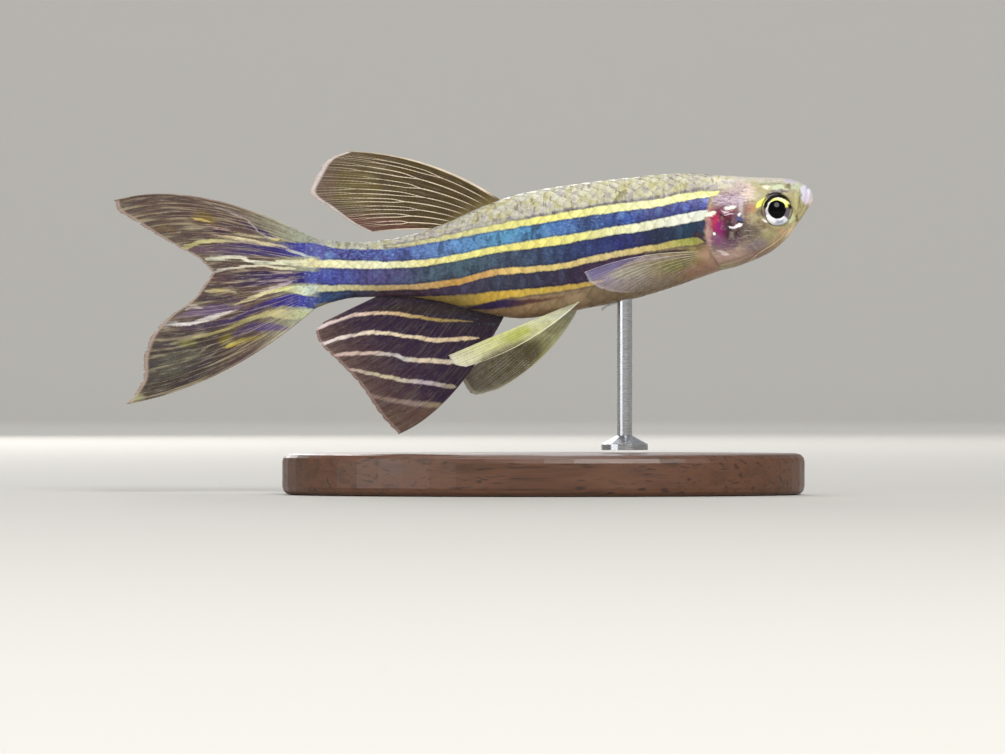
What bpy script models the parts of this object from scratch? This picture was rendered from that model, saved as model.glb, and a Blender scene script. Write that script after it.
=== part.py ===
"""A life-size zebra danio in its swimming pose, on a plain display stand.

The scene is in metres, +Z up, with the head towards +X and the origin at the centre of the
base's underside. The fish's own sizes are in millimetres, in its own frame: how far behind the
tip of the snout, how far to the fish's left, and how high above the tip of the snout.
"""

import math
from collections import namedtuple

import bmesh
import bpy
from mathutils import Vector

MM = 0.001
GAP = 0.25  # between neighbouring solids
FAR = 12.0  # well past the body, for cutters
SIDE_FAR = 7.0

# The display stand
BASE_LENGTH = 38.0
BASE_WIDTH = 21.0
BASE_HEIGHT = 3.0
BASE_EDGE = 0.6
ROD_RADIUS = 0.55
ROD_FOOT_RADIUS = 1.7
ROD_FOOT_HEIGHT = 0.7
ROD_BEHIND = 13.7  # where the rod meets the belly, behind the snout
ROD_DEPTH = 1.1  # how far the rod goes into the belly

# Where the snout tip is above the base
SNOUT_FORWARD = 19.6
FIN_CLEARANCE = 1.4  # under the lowest fin tip
LOWEST_FIN_TIP = -17.1

# The body, as stations along the fish
BODY_LENGTH = 36.6
Station = namedtuple("Station", "behind back belly half_width")
BODY = {
    "snout": Station(0.0, 0.0, 0.0, 0.0),
    "lip": Station(0.22, 0.66, -0.52, 0.56),
    "mouth": Station(0.95, 1.24, -1.60, 1.10),
    "nostril": Station(1.67, 1.47, -2.62, 1.42),
    "eye": Station(2.76, 1.56, -3.68, 1.72),
    "cheek": Station(4.20, 1.60, -4.45, 1.92),
    "gill": Station(6.76, 1.74, -5.26, 2.08),
    "shoulder": Station(9.67, 1.85, -6.24, 2.20),
    "breast": Station(13.3, 1.55, -7.32, 2.32),
    "belly": Station(17.7, 1.02, -8.15, 2.26),
    "vent": Station(21.3, 0.38, -8.68, 1.98),
    "dorsal": Station(24.2, -0.60, -8.22, 1.66),
    "haunch": Station(27.1, -1.90, -7.44, 1.34),
    "stem": Station(30.0, -2.76, -7.08, 1.06),
    "waist": Station(33.2, -3.15, -7.14, 0.80),
    "fork": Station(BODY_LENGTH, -2.72, -8.10, 0.42),
}
WIDEST_AT = 0.56  # height of the greatest width, as a share of the depth
ROUNDNESS = 2.2  # power of the oval section
RINGS = 58
RING_POINTS = 32

# The tail swings to the fish's left
BEND_START = 13.0
FISH_LENGTH = 51.4
BEND_AT_TIP = 5.0

# The eye, a lens that bulges a little past the skin
EYE_BEHIND = 2.69
EYE_UP = -0.80
EYE_RADIUS = 1.20
EYE_SIDE = 1.42
EYE_BULGE = 0.46
EYE_DEPTH = 0.70
PUPIL_RADIUS = 0.64
PUPIL_RELIEF = 0.07

# The mouth, upturned, and the seam behind the lower jaw
MOUTH_NOTCH = (0.44, 0.78)
MOUTH_CORNER = (1.09, -1.31)
JAW_SEAM = ((1.62, -2.15), (2.75, -3.72))
SEAM_IN_HEAD = 0.10  # the head's share of the gap at the mouth
LIP_RADIUS = 0.17
UPPER_LIP_BEHIND = 0.22  # from the mouth line to the lip's axis
LOWER_LIP_AHEAD = 0.24

# Two nostrils a side, the front one first
NOSTRILS = ((1.36, 1.02, 0.14), (1.80, 0.92, 0.17))

# The gill cover and the gill opening, an arc that bulges towards the tail
GILL_BEHIND = 7.95
GILL_UP = -2.2
GILL_RISE_CURVE = 0.084
GILL_FALL_CURVE = 0.150
COVER_TOP = 0.10
COVER_BOTTOM = -4.25
COVER_MIDDLE = 6.70
COVER_FRONT = 4.85
COVER_DEPTH_SIDE = 1.25  # the cover's inner face, from the middle plane
COVER_SWELL = 0.14

TAIL_CUT = 31.4

# The barbel that trails from each corner of the mouth, close along the cheek
BARBEL_PATH = ((1.72, -1.86), (2.20, -2.70), (2.95, -3.30), (3.90, -3.85), (4.75, -4.45))
BARBEL_RADIUS = 0.23
BARBEL_TIP_RADIUS = 0.09
BARBEL_SUNK = 0.05
BARBEL_TIP_LIFT = 0.22

# Fins
RAY_ROWS = 9
MEMBRANE_HALF = 0.25
RAY_RELIEF = 0.09
TIP_SHARE = 0.5  # how much thinner a fin is at its edge
SCALLOP = 0.012  # how far the membrane falls short of the ray tips

# Colours, linear
OLIVE = (0.42, 0.38, 0.20)
SILVER = (0.62, 0.55, 0.47)
BLUE = (0.05, 0.09, 0.27)
ROSE = (0.42, 0.16, 0.20)
FIN_OLIVE = (0.36, 0.33, 0.14)
FIN_PURPLE = (0.12, 0.07, 0.14)
FIN_PALE = (0.55, 0.55, 0.42)
EYE_GOLD = (0.80, 0.74, 0.45)
WALNUT = (0.10, 0.05, 0.025)
STEEL = (0.60, 0.60, 0.62)


def clear_scene():
    for item in list(bpy.data.objects):
        bpy.data.objects.remove(item, do_unlink=True)


def rounded_slopes(xs, ys):
    """Slopes for a smooth curve through the points that never overshoots them."""
    steps = [(ys[i + 1] - ys[i]) / (xs[i + 1] - xs[i]) for i in range(len(xs) - 1)]
    slopes = [steps[0]]
    for before, after in zip(steps, steps[1:]):
        slopes.append(0.0 if before * after <= 0 else 2 * before * after / (before + after))
    slopes.append(steps[-1])
    return slopes


def value_at(xs, ys, slopes, x):
    """The cubic through the points, at x."""
    i = 0
    while i < len(xs) - 2 and x > xs[i + 1]:
        i += 1
    width = xs[i + 1] - xs[i]
    t = min(max((x - xs[i]) / width, 0.0), 1.0)
    start = (1 + 2 * t) * (1 - t) ** 2 * ys[i] + t * (1 - t) ** 2 * width * slopes[i]
    end = t * t * (3 - 2 * t) * ys[i + 1] + t * t * (t - 1) * width * slopes[i + 1]
    return start + end


def profile_of(field):
    """The body's back, belly or half width as a function of the distance behind the snout.
    It runs on the root of that distance, which rounds the snout."""
    xs = [math.sqrt(station.behind) for station in BODY.values()]
    ys = [getattr(station, field) for station in BODY.values()]
    slopes = rounded_slopes(xs, ys)
    return lambda behind: value_at(xs, ys, slopes, math.sqrt(max(behind, 0.0)))


back_at = profile_of("back")
belly_at = profile_of("belly")
half_width_at = profile_of("half_width")


def waist_at(behind):
    return belly_at(behind) + WIDEST_AT * (back_at(behind) - belly_at(behind))


def bend_at(behind):
    """How far the spine lies to the fish's left."""
    share = max(behind - BEND_START, 0.0) / (FISH_LENGTH - BEND_START)
    return BEND_AT_TIP * share * share


def place(behind, left, up):
    """A point of the fish's frame, in the scene."""
    snout_up = BASE_HEIGHT + FIN_CLEARANCE - LOWEST_FIN_TIP
    x = (SNOUT_FORWARD - behind) * MM
    y = (bend_at(behind) + left) * MM
    return Vector((x, y, (snout_up + up) * MM))


def section_point(behind, angle, swell=0.0):
    """A point of the skin: angle 0 is the back, and a quarter turn is the fish's left."""
    waist = waist_at(behind)
    rise = (back_at(behind) if math.cos(angle) > 0 else belly_at(behind)) - waist
    power = 2 / ROUNDNESS
    across = math.copysign(abs(math.sin(angle)) ** power, math.sin(angle))
    left = (half_width_at(behind) + swell) * across
    return (behind, left, waist + rise * abs(math.cos(angle)) ** power)


def flank_at(behind, up):
    """The half width of the body at a height, 0 above the back and below the belly."""
    waist = waist_at(behind)
    reach = (back_at(behind) if up > waist else belly_at(behind)) - waist
    share = abs((up - waist) / reach) if reach else 1.0
    return half_width_at(behind) * max(1 - share**ROUNDNESS, 0.0) ** (1 / ROUNDNESS)


def off_skin(behind, up, sign, clear):
    """A point that far off the skin, at the given height, along the skin's normal."""
    step = 0.02
    side = flank_at(behind, up)
    slope_up = (flank_at(behind, up + step) - flank_at(behind, up - step)) / (2 * step)
    slope_back = (flank_at(behind + step, up) - flank_at(behind - step, up)) / (2 * step)
    normal = Vector((-slope_back, 1.0, -slope_up)).normalized() * clear
    return (behind + normal.x, sign * (side + normal.y), up + normal.z)


def paint(item, colour, roughness, metallic=0.0):
    material = bpy.data.materials.new(item.name)
    material.use_nodes = True
    shader = material.node_tree.nodes["Principled BSDF"]
    shader.inputs["Base Color"].default_value = (*colour, 1.0)
    shader.inputs["Roughness"].default_value = roughness
    shader.inputs["Metallic"].default_value = metallic
    item.data.materials.clear()
    item.data.materials.append(material)


def finish_node(item, colour, roughness=0.4, metallic=0.0, sharp_from=math.radians(40)):
    item.data.shade_smooth()
    item.data.set_sharp_from_angle(angle=sharp_from)
    paint(item, colour, roughness, metallic)
    return item


def object_from(name, points, faces):
    mesh = bpy.data.meshes.new(name)
    mesh.from_pydata([tuple(point) for point in points], [], faces)
    item = bpy.data.objects.new(name, mesh)
    bpy.context.scene.collection.objects.link(item)
    face_outwards(item)
    return item


def face_outwards(item):
    shape = bmesh.new()
    shape.from_mesh(item.data)
    bmesh.ops.recalc_face_normals(shape, faces=shape.faces)
    if shape.calc_volume(signed=True) < 0:
        bmesh.ops.reverse_faces(shape, faces=shape.faces)
    shape.to_mesh(item.data)
    shape.free()


def copy_of(item, name):
    copied = bpy.data.objects.new(name, item.data.copy())
    bpy.context.scene.collection.objects.link(copied)
    return copied


def bake_modifiers(item):
    graph = bpy.context.evaluated_depsgraph_get()
    mesh = bpy.data.meshes.new_from_object(item.evaluated_get(graph))
    item.modifiers.clear()
    item.data = mesh


def combine(item, other, operation):
    """Applies one Boolean with the other object, which is then removed."""
    modifier = item.modifiers.new("combine", "BOOLEAN")
    modifier.operation = operation
    modifier.object = other
    bake_modifiers(item)
    bpy.data.objects.remove(other, do_unlink=True)


def fuse(item, pieces):
    """One union with a collection of closed pieces, which are then removed."""
    group = bpy.data.collections.new(item.name + "_pieces")
    bpy.context.scene.collection.children.link(group)
    for piece in pieces:
        group.objects.link(piece)
        bpy.context.scene.collection.objects.unlink(piece)
    modifier = item.modifiers.new("fuse", "BOOLEAN")
    modifier.operation = "UNION"
    modifier.operand_type = "COLLECTION"
    modifier.collection = group
    bake_modifiers(item)
    for piece in pieces:
        bpy.data.objects.remove(piece, do_unlink=True)
    bpy.data.collections.remove(group)


def island_of(start):
    """The faces that are joined to one face by shared edges."""
    found = {start}
    waiting = [start]
    while waiting:
        for edge in waiting.pop().edges:
            for face in edge.link_faces:
                if face not in found:
                    found.add(face)
                    waiting.append(face)
    return found


def keep_largest(item):
    """Leaves only the surface with the most faces."""
    shape = bmesh.new()
    shape.from_mesh(item.data)
    left = set(shape.faces)
    islands = []
    while left:
        island = island_of(next(iter(left)))
        islands.append(island)
        left -= island
    islands.sort(key=len)
    scraps = [face for island in islands[:-1] for face in island]
    bmesh.ops.delete(shape, geom=scraps, context="FACES")
    loose = [vertex for vertex in shape.verts if not vertex.link_faces]
    bmesh.ops.delete(shape, geom=loose, context="VERTS")
    shape.to_mesh(item.data)
    shape.free()


def prism(name, outline, left_from=-SIDE_FAR, left_to=SIDE_FAR):
    """A side-view outline of (behind, up) points, extruded across the fish."""
    count = len(outline)
    points = [place(behind, left_from, up) for behind, up in outline]
    points += [place(behind, left_to, up) for behind, up in outline]
    faces = [tuple(range(count)), tuple(range(2 * count - 1, count - 1, -1))]
    for i in range(count):
        j = (i + 1) % count
        faces.append((i, j, count + j, count + i))
    return object_from(name, points, faces)


def grown(outline, by):
    """The outline with every side moved outwards by the same distance."""
    area = 0.0
    for (x0, y0), (x1, y1) in zip(outline, outline[1:] + outline[:1]):
        area += x0 * y1 - x1 * y0
    turn = 1.0 if area > 0 else -1.0
    moved = []
    for i, here in enumerate(outline):
        before = Vector(here) - Vector(outline[i - 1])
        after = Vector(outline[(i + 1) % len(outline)]) - Vector(here)
        out_before = Vector((before.y, -before.x)).normalized() * turn
        out_after = Vector((after.y, -after.x)).normalized() * turn
        middle = (out_before + out_after).normalized()
        reach = by / max(middle.dot(out_before), 0.4)
        moved.append(tuple(Vector(here) + middle * reach))
    return moved


def tube(name, path, radii, sides):
    """A closed tube along scene points, with one radius in millimetres for each."""
    rings = []
    across = Vector((0.31, 0.95, 0.0))
    for i, point in enumerate(path):
        ahead = (path[min(i + 1, len(path) - 1)] - path[max(i - 1, 0)]).normalized()
        across = (across - ahead * across.dot(ahead)).normalized()
        other = ahead.cross(across)
        ring = []
        for k in range(sides):
            angle = math.tau * k / sides
            spoke = across * math.cos(angle) + other * math.sin(angle)
            ring.append(point + spoke * radii[i] * MM)
        rings.append(ring)
    points = [point for ring in rings for point in ring]
    faces = [tuple(range(sides)), tuple(range(len(points) - sides, len(points)))]
    for i in range(len(rings) - 1):
        for k in range(sides):
            a = i * sides + k
            b = i * sides + (k + 1) % sides
            faces.append((a, b, b + sides, a + sides))
    return object_from(name, points, faces)


def ellipsoid(name, centre, radii):
    """A ball stretched along the fish's three directions, by radii in millimetres."""
    shape = bmesh.new()
    bmesh.ops.create_icosphere(shape, subdivisions=2, radius=1.0)
    middle = place(*centre)
    for vertex in shape.verts:
        stretched = [vertex.co[i] * radii[i] * MM for i in range(3)]
        vertex.co = middle + Vector(stretched)
    mesh = bpy.data.meshes.new(name)
    shape.to_mesh(mesh)
    shape.free()
    item = bpy.data.objects.new(name, mesh)
    bpy.context.scene.collection.objects.link(item)
    return item


def make_body(name, swell=0.0):
    """The whole body from the snout to the root of the tail fin, closed at both ends."""
    points = [place(0.0, 0.0, 0.0)]
    for i in range(1, RINGS + 1):
        behind = BODY_LENGTH * (i / RINGS) ** 2
        for k in range(RING_POINTS):
            angle = math.tau * k / RING_POINTS
            points.append(place(*section_point(behind, angle, swell)))
    faces = []
    for k in range(RING_POINTS):
        faces.append((0, 1 + k, 1 + (k + 1) % RING_POINTS))
    for i in range(RINGS - 1):
        for k in range(RING_POINTS):
            a = 1 + i * RING_POINTS + k
            b = 1 + i * RING_POINTS + (k + 1) % RING_POINTS
            faces.append((a, b, b + RING_POINTS, a + RING_POINTS))
    faces.append(tuple(range(len(points) - RING_POINTS, len(points))))
    return object_from(name, points, faces)


def gill_edge(up, clear=0.0):
    """The gill opening's distance behind the snout at a height."""
    curve = GILL_RISE_CURVE if up > GILL_UP else GILL_FALL_CURVE
    return GILL_BEHIND + clear - curve * (up - GILL_UP) ** 2


def gill_arc(clear, top=4.0, bottom=-8.0, steps=14):
    """The gill opening as a line of side-view points, from the top down."""
    heights = [top + (bottom - top) * i / steps for i in range(steps + 1)]
    return [(gill_edge(up, clear), up) for up in heights]


def cover_outline():
    """The gill cover: the gill opening behind, and a round edge in front."""
    outline = gill_arc(0.0, COVER_TOP, COVER_BOTTOM, 8)
    centre_up = (COVER_TOP + COVER_BOTTOM) / 2
    half_height = (COVER_TOP - COVER_BOTTOM) / 2
    steps = 9
    for i in range(steps + 1):
        angle = math.pi * i / steps
        behind = COVER_MIDDLE - (COVER_MIDDLE - COVER_FRONT) * math.sin(angle)
        outline.append((behind, centre_up - half_height * math.cos(angle)))
    return outline


def jaw_outline():
    """The side view of all that is in front of and below the mouth and the jaw's seam."""
    top = (-FAR, MOUTH_NOTCH[1] + 2.4)
    below = [(JAW_SEAM[-1][0], -FAR), (-FAR, -FAR)]
    return [top, MOUTH_NOTCH, MOUTH_CORNER, *JAW_SEAM, *below]


def lip(name, inward):
    """A tube along the mouth's edge, over the snout from corner to corner. Inward is how far
    behind the mouth line it runs, and is negative for the lower lip."""
    path = []
    steps = 7
    for i in range(-steps, steps + 1):
        share = 1 - abs(i / steps) ** 1.6
        behind = MOUTH_CORNER[0] + (MOUTH_NOTCH[0] - MOUTH_CORNER[0]) * share + inward
        up = MOUTH_CORNER[1] + (MOUTH_NOTCH[1] - MOUTH_CORNER[1]) * share
        up = min(max(up, belly_at(behind) + 0.03), back_at(behind) - 0.02)
        left = math.copysign(flank_at(behind, up), i) if i else 0.0
        path.append(place(behind, left, up))
    radii = [LIP_RADIUS * (1 - 0.45 * abs(i / steps) ** 3) for i in range(-steps, steps + 1)]
    return tube(name, path, radii, 8)


def barbel(name, sign):
    """A feeler rooted behind the mouth corner, which lies back along the cheek."""
    steps = 12
    line = curve_through([Vector((behind, 0.0, up)) for behind, up in BARBEL_PATH])
    path = []
    radii = []
    for i in range(steps + 1):
        share = i / steps
        spot = line(share)
        lift = (BARBEL_TIP_LIFT + BARBEL_SUNK) * share**2 - BARBEL_SUNK
        path.append(place(*off_skin(spot.x, spot.z, sign, lift)))
        radii.append(BARBEL_RADIUS + (BARBEL_TIP_RADIUS - BARBEL_RADIUS) * share)
    return tube(name, path, radii, 7)


def make_head(body):
    """The head without its lower jaw, gill covers and eyes, with lip, nostrils and barbels."""
    head = copy_of(body, "head")
    region = gill_arc(0.0) + [(-FAR, -FAR), (-FAR, FAR)]
    combine(head, prism("head_region", region), "INTERSECT")
    barbels = [barbel("barbel_left", 1), barbel("barbel_right", -1)]
    fuse(head, [lip("upper_lip", UPPER_LIP_BEHIND)] + barbels)
    combine(head, prism("jaw_space", grown(jaw_outline(), SEAM_IN_HEAD)), "DIFFERENCE")
    cover_space = grown(cover_outline(), GAP)
    floor = COVER_DEPTH_SIDE - GAP
    for sign in (1, -1):
        space = prism("cover_space", cover_space, sign * floor, sign * SIDE_FAR)
        combine(head, space, "DIFFERENCE")
        combine(head, eye_shape("socket", sign, GAP, 20, 12), "DIFFERENCE")
        for behind, up, radius in NOSTRILS:
            centre = (behind, sign * flank_at(behind, up), up)
            pit = ellipsoid("nostril", centre, (radius * 1.2, radius * 1.6, radius))
            combine(head, pit, "DIFFERENCE")
    keep_largest(head)
    return finish_node(head, OLIVE)


def make_jaw(body):
    jaw = copy_of(body, "lower_jaw")
    fuse(jaw, [lip("lower_lip", -LOWER_LIP_AHEAD)])
    region = grown(jaw_outline(), SEAM_IN_HEAD - GAP)
    combine(jaw, prism("jaw_region", region), "INTERSECT")
    keep_largest(jaw)
    return finish_node(jaw, SILVER)


def make_gill_covers():
    """The two bony plates over the gills, a little proud of the head."""
    for side, sign in (("left", 1), ("right", -1)):
        cover = make_body("gill_cover_" + side, COVER_SWELL)
        region = prism("cover", cover_outline(), sign * COVER_DEPTH_SIDE, sign * SIDE_FAR)
        combine(cover, region, "INTERSECT")
        keep_largest(cover)
        finish_node(cover, ROSE, 0.3)


def make_torso(body):
    """The trunk from the gill opening to the tail stem, with a socket for the stand's rod."""
    torso = copy_of(body, "torso")
    region = gill_arc(GAP) + [(TAIL_CUT, -FAR), (TAIL_CUT, FAR)]
    combine(torso, prism("torso_region", region), "INTERSECT")
    top = belly_at(ROD_BEHIND) + ROD_DEPTH + GAP
    path = [place(ROD_BEHIND, 0.0, -FAR), place(ROD_BEHIND, 0.0, top)]
    combine(torso, tube("rod_socket", path, [ROD_RADIUS + GAP] * 2, 16), "DIFFERENCE")
    keep_largest(torso)
    return finish_node(torso, BLUE)


def make_tail_stem(body):
    stem = copy_of(body, "tail_stem")
    start = TAIL_CUT + GAP
    end = BODY_LENGTH + FAR
    region = [(start, FAR), (start, -FAR), (end, -FAR), (end, FAR)]
    combine(stem, prism("stem_region", region), "INTERSECT")
    keep_largest(stem)
    return finish_node(stem, BLUE)


def eye_shape(name, sign, clear, sides, rings):
    """An eyeball turned about its own axis, deeper inwards than outwards. Clear makes it larger
    all round, for the socket."""
    points = []
    for i in range(rings + 1):
        angle = math.pi * i / rings
        radius = (EYE_RADIUS + clear) * math.sin(angle)
        reach = (EYE_BULGE if angle < math.pi / 2 else EYE_DEPTH) + clear
        side = EYE_SIDE + reach * math.cos(angle)
        if angle < math.pi / 2 and radius < PUPIL_RADIUS and not clear:
            side += PUPIL_RELIEF
        if i in (0, rings):
            points.append(place(EYE_BEHIND, sign * side, EYE_UP))
            continue
        for k in range(sides):
            turn = math.tau * k / sides
            behind = EYE_BEHIND + radius * math.cos(turn)
            points.append(place(behind, sign * side, EYE_UP + radius * math.sin(turn)))
    faces = []
    last = len(points) - 1
    for k in range(sides):
        after = (k + 1) % sides
        faces.append((0, 1 + k, 1 + after))
        faces.append((last, last - sides + after, last - sides + k))
        for i in range(rings - 2):
            a = 1 + i * sides + k
            b = 1 + i * sides + after
            faces.append((a, a + sides, b + sides, b))
    return object_from(name, points, faces)


def make_eyes():
    """Each eye has its round pupil raised a little."""
    for side, sign in (("left", 1), ("right", -1)):
        finish_node(eye_shape("eye_" + side, sign, 0.0, 24, 14), EYE_GOLD, 0.15)


def curve_through(knots):
    """A smooth line through the knots, as a function of 0 to 1 along it."""
    lengths = [0.0]
    for before, after in zip(knots, knots[1:]):
        lengths.append(lengths[-1] + (after - before).length)
    spots = [length / lengths[-1] for length in lengths]
    axes = []
    for axis in range(3):
        values = [knot[axis] for knot in knots]
        axes.append((values, smooth_slopes(spots, values)))

    def line(share):
        return Vector([value_at(spots, values, slopes, share) for values, slopes in axes])

    return line


def smooth_slopes(spots, values):
    """Slopes of a flowing curve, each from the two neighbouring points."""
    slopes = []
    for i in range(len(spots)):
        low = max(i - 1, 0)
        high = min(i + 1, len(spots) - 1)
        slopes.append((values[high] - values[low]) / (spots[high] - spots[low]))
    return slopes


def fin(name, rays, root, bow, tip, colour):
    """A rayed fin. Root, bow and tip are knots, front ray first: each ray leaves the root line,
    heads for the bow line and ends on the tip line. The rays are ridges on both faces."""
    root_line = curve_through([Vector(knot) for knot in root])
    bow_line = curve_through([Vector(knot) for knot in bow])
    tip_line = curve_through([Vector(knot) for knot in tip])
    columns = 2 * rays

    def middle(across, along):
        start, turn, end = root_line(across), bow_line(across), tip_line(across)
        spot = start * (1 - along) ** 2 + turn * 2 * along * (1 - along) + end * along**2
        return place(*spot)

    def normal(across, along):
        step = 0.01
        over = middle(min(across + step, 1), along) - middle(max(across - step, 0), along)
        out = middle(across, min(along + step, 1)) - middle(across, max(along - step, 0))
        return over.cross(out).normalized()

    near_face = []
    far_face = []
    for i in range(RAY_ROWS + 1):
        for k in range(columns + 1):
            on_ray = k % 2 == 1
            along = i / RAY_ROWS * (1.0 if on_ray else 1 - SCALLOP)
            across = k / columns
            half = MEMBRANE_HALF + (RAY_RELIEF if on_ray else 0.0)
            half *= (1 - TIP_SHARE * along**3) * MM
            point = middle(across, along)
            out = normal(across, along) * half
            near_face.append(point + out)
            far_face.append(point - out)
    faces = sheet_faces(RAY_ROWS + 1, columns + 1)
    item = object_from(name, near_face + far_face, faces)
    return finish_node(item, colour, 0.35)


def sheet_faces(rows, columns):
    """Triangles of two like grids, split alike, and of the rim that joins them."""
    total = rows * columns
    faces = []
    for i in range(rows - 1):
        for k in range(columns - 1):
            a = i * columns + k
            b = a + 1
            c = a + columns
            d = c + 1
            faces += [(a, b, d), (a, d, c)]
            faces += [(total + a, total + d, total + b), (total + a, total + c, total + d)]
    rim = [k for k in range(columns)]
    rim += [i * columns + columns - 1 for i in range(1, rows)]
    rim += [(rows - 1) * columns + k for k in range(columns - 2, -1, -1)]
    rim += [i * columns for i in range(rows - 2, 0, -1)]
    for here, after in zip(rim, rim[1:] + rim[:1]):
        faces += [(here, total + here, total + after), (here, total + after, after)]
    return faces


def along_body(start, end, steps, height):
    """Knots along the back or belly line, clear of it."""
    knots = []
    for i in range(steps + 1):
        behind = start + (end - start) * i / steps
        knots.append((behind, 0.0, height(behind)))
    return knots


def make_dorsal_fin():
    """Swept back, with a rounded peak, on the back behind the middle."""
    fin(
        "dorsal_fin",
        rays=9,
        root=along_body(22.5, 26.9, 3, lambda behind: back_at(behind) + GAP),
        bow=[(27.6, 0.15, 3.30), (28.3, 0.15, 1.60), (29.1, 0.10, -0.40), (29.6, 0.0, -2.05)],
        tip=[
            (33.9, 0.7, 3.60),
            (35.4, 0.9, 2.95),
            (36.3, 1.0, 1.60),
            (36.7, 1.0, 0.50),
            (35.2, 0.8, -0.60),
            (33.6, 0.6, -1.70),
            (32.2, 0.4, -2.35),
        ],
        colour=FIN_OLIVE,
    )


def make_anal_fin():
    """Broad and pointed, hanging from the belly between the vent and the tail stem."""
    fin(
        "anal_fin",
        rays=14,
        root=along_body(22.4, 30.9, 4, lambda behind: belly_at(behind) - GAP),
        bow=[(26.1, 0.2, -15.4), (28.8, 0.2, -12.2), (31.3, 0.1, -9.6), (33.6, 0.0, -7.95)],
        tip=[
            (30.2, 1.4, LOWEST_FIN_TIP),
            (31.5, 1.3, -15.7),
            (33.0, 1.0, -13.5),
            (34.6, 0.6, -11.8),
            (35.9, 0.3, -10.5),
            (36.2, 0.1, -9.6),
            (35.7, 0.0, -9.0),
        ],
        colour=FIN_PURPLE,
    )


def make_tail_fin():
    """Two swept lobes with a fork between them."""
    start = BODY_LENGTH + GAP
    middle = -5.3
    half_gap = GAP / 2
    top = back_at(BODY_LENGTH)
    bottom = belly_at(BODY_LENGTH)
    fin(
        "tail_fin_upper",
        rays=9,
        root=[
            (start, 0.0, top),
            (start + 0.25, 0.0, (top + middle) / 2),
            (start, 0.0, middle + half_gap),
        ],
        bow=[(45.2, 0.0, 1.67), (42.6, 0.0, -2.2), (40.2, 0.0, middle + half_gap)],
        tip=[
            (51.3, 0.5, 0.0),
            (51.0, 0.5, -0.7),
            (49.6, 0.4, -1.5),
            (48.0, 0.3, -2.5),
            (46.2, 0.2, -3.5),
            (44.9, 0.1, -4.2),
            (43.8, 0.0, middle + half_gap),
        ],
        colour=BLUE,
    )
    fin(
        "tail_fin_lower",
        rays=9,
        root=[
            (start, 0.0, middle - half_gap),
            (start + 0.25, 0.0, (bottom + middle) / 2),
            (start, 0.0, bottom),
        ],
        bow=[(40.2, 0.0, middle - half_gap), (41.8, 0.0, -9.0), (42.9, 0.0, -13.6)],
        tip=[
            (43.8, 0.0, middle - half_gap),
            (45.3, -0.1, -7.3),
            (47.0, -0.2, -8.5),
            (48.3, -0.3, -9.9),
            (48.9, -0.4, -11.5),
            (49.0, -0.5, -13.2),
            (50.1, -0.6, -14.9),
        ],
        colour=BLUE,
    )


def make_pectoral_fins():
    """The right one is held back along the flank and the left one is lowered and spread."""
    clear = GAP + MEMBRANE_HALF + RAY_RELIEF
    root_ups = ((7.9, -3.95), (8.1, -4.35), (8.2, -4.75))
    fin(
        "pectoral_fin_right",
        rays=8,
        root=[off_skin(behind, up, -1, clear) for behind, up in root_ups],
        bow=[(12.6, -3.5, -3.75), (11.2, -3.3, -4.9), (9.4, -3.0, -5.3)],
        tip=[
            (16.7, -3.5, -5.4),
            (16.2, -3.7, -6.2),
            (14.6, -3.7, -6.8),
            (12.6, -3.5, -6.8),
            (10.6, -3.2, -6.3),
        ],
        colour=FIN_PALE,
    )
    fin(
        "pectoral_fin_left",
        rays=8,
        root=[off_skin(behind, up, 1, clear) for behind, up in root_ups],
        bow=[(12.0, 4.4, -5.3), (11.0, 4.0, -5.3), (9.6, 3.4, -5.4)],
        tip=[
            (15.3, 5.6, -8.1),
            (15.3, 4.9, -7.9),
            (14.2, 4.3, -7.6),
            (12.6, 3.8, -7.1),
            (11.0, 3.4, -6.4),
        ],
        colour=FIN_PALE,
    )


def make_pelvic_fins():
    """The right one lies back along the belly and the left one is lowered."""
    clear = GAP + MEMBRANE_HALF + RAY_RELIEF
    root_ups = ((16.8, -7.35), (17.3, -7.65), (17.9, -7.95))
    fin(
        "pelvic_fin_right",
        rays=7,
        root=[off_skin(behind, up, -1, clear) for behind, up in root_ups],
        bow=[(20.6, -2.9, -10.9), (21.2, -2.3, -9.9), (21.7, -1.9, -9.35)],
        tip=[(25.3, -3.0, -12.2), (26.1, -2.7, -12.0), (26.5, -2.3, -11.4)],
        colour=FIN_PALE,
    )
    fin(
        "pelvic_fin_left",
        rays=7,
        root=[off_skin(behind, up, 1, clear) for behind, up in root_ups],
        bow=[(18.7, 2.4, -11.6), (20.0, 2.2, -10.6), (21.5, 1.9, -9.9)],
        tip=[(23.1, 2.7, -13.9), (24.8, 2.7, -14.2), (25.7, 2.4, -12.9)],
        colour=FIN_PALE,
    )


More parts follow.
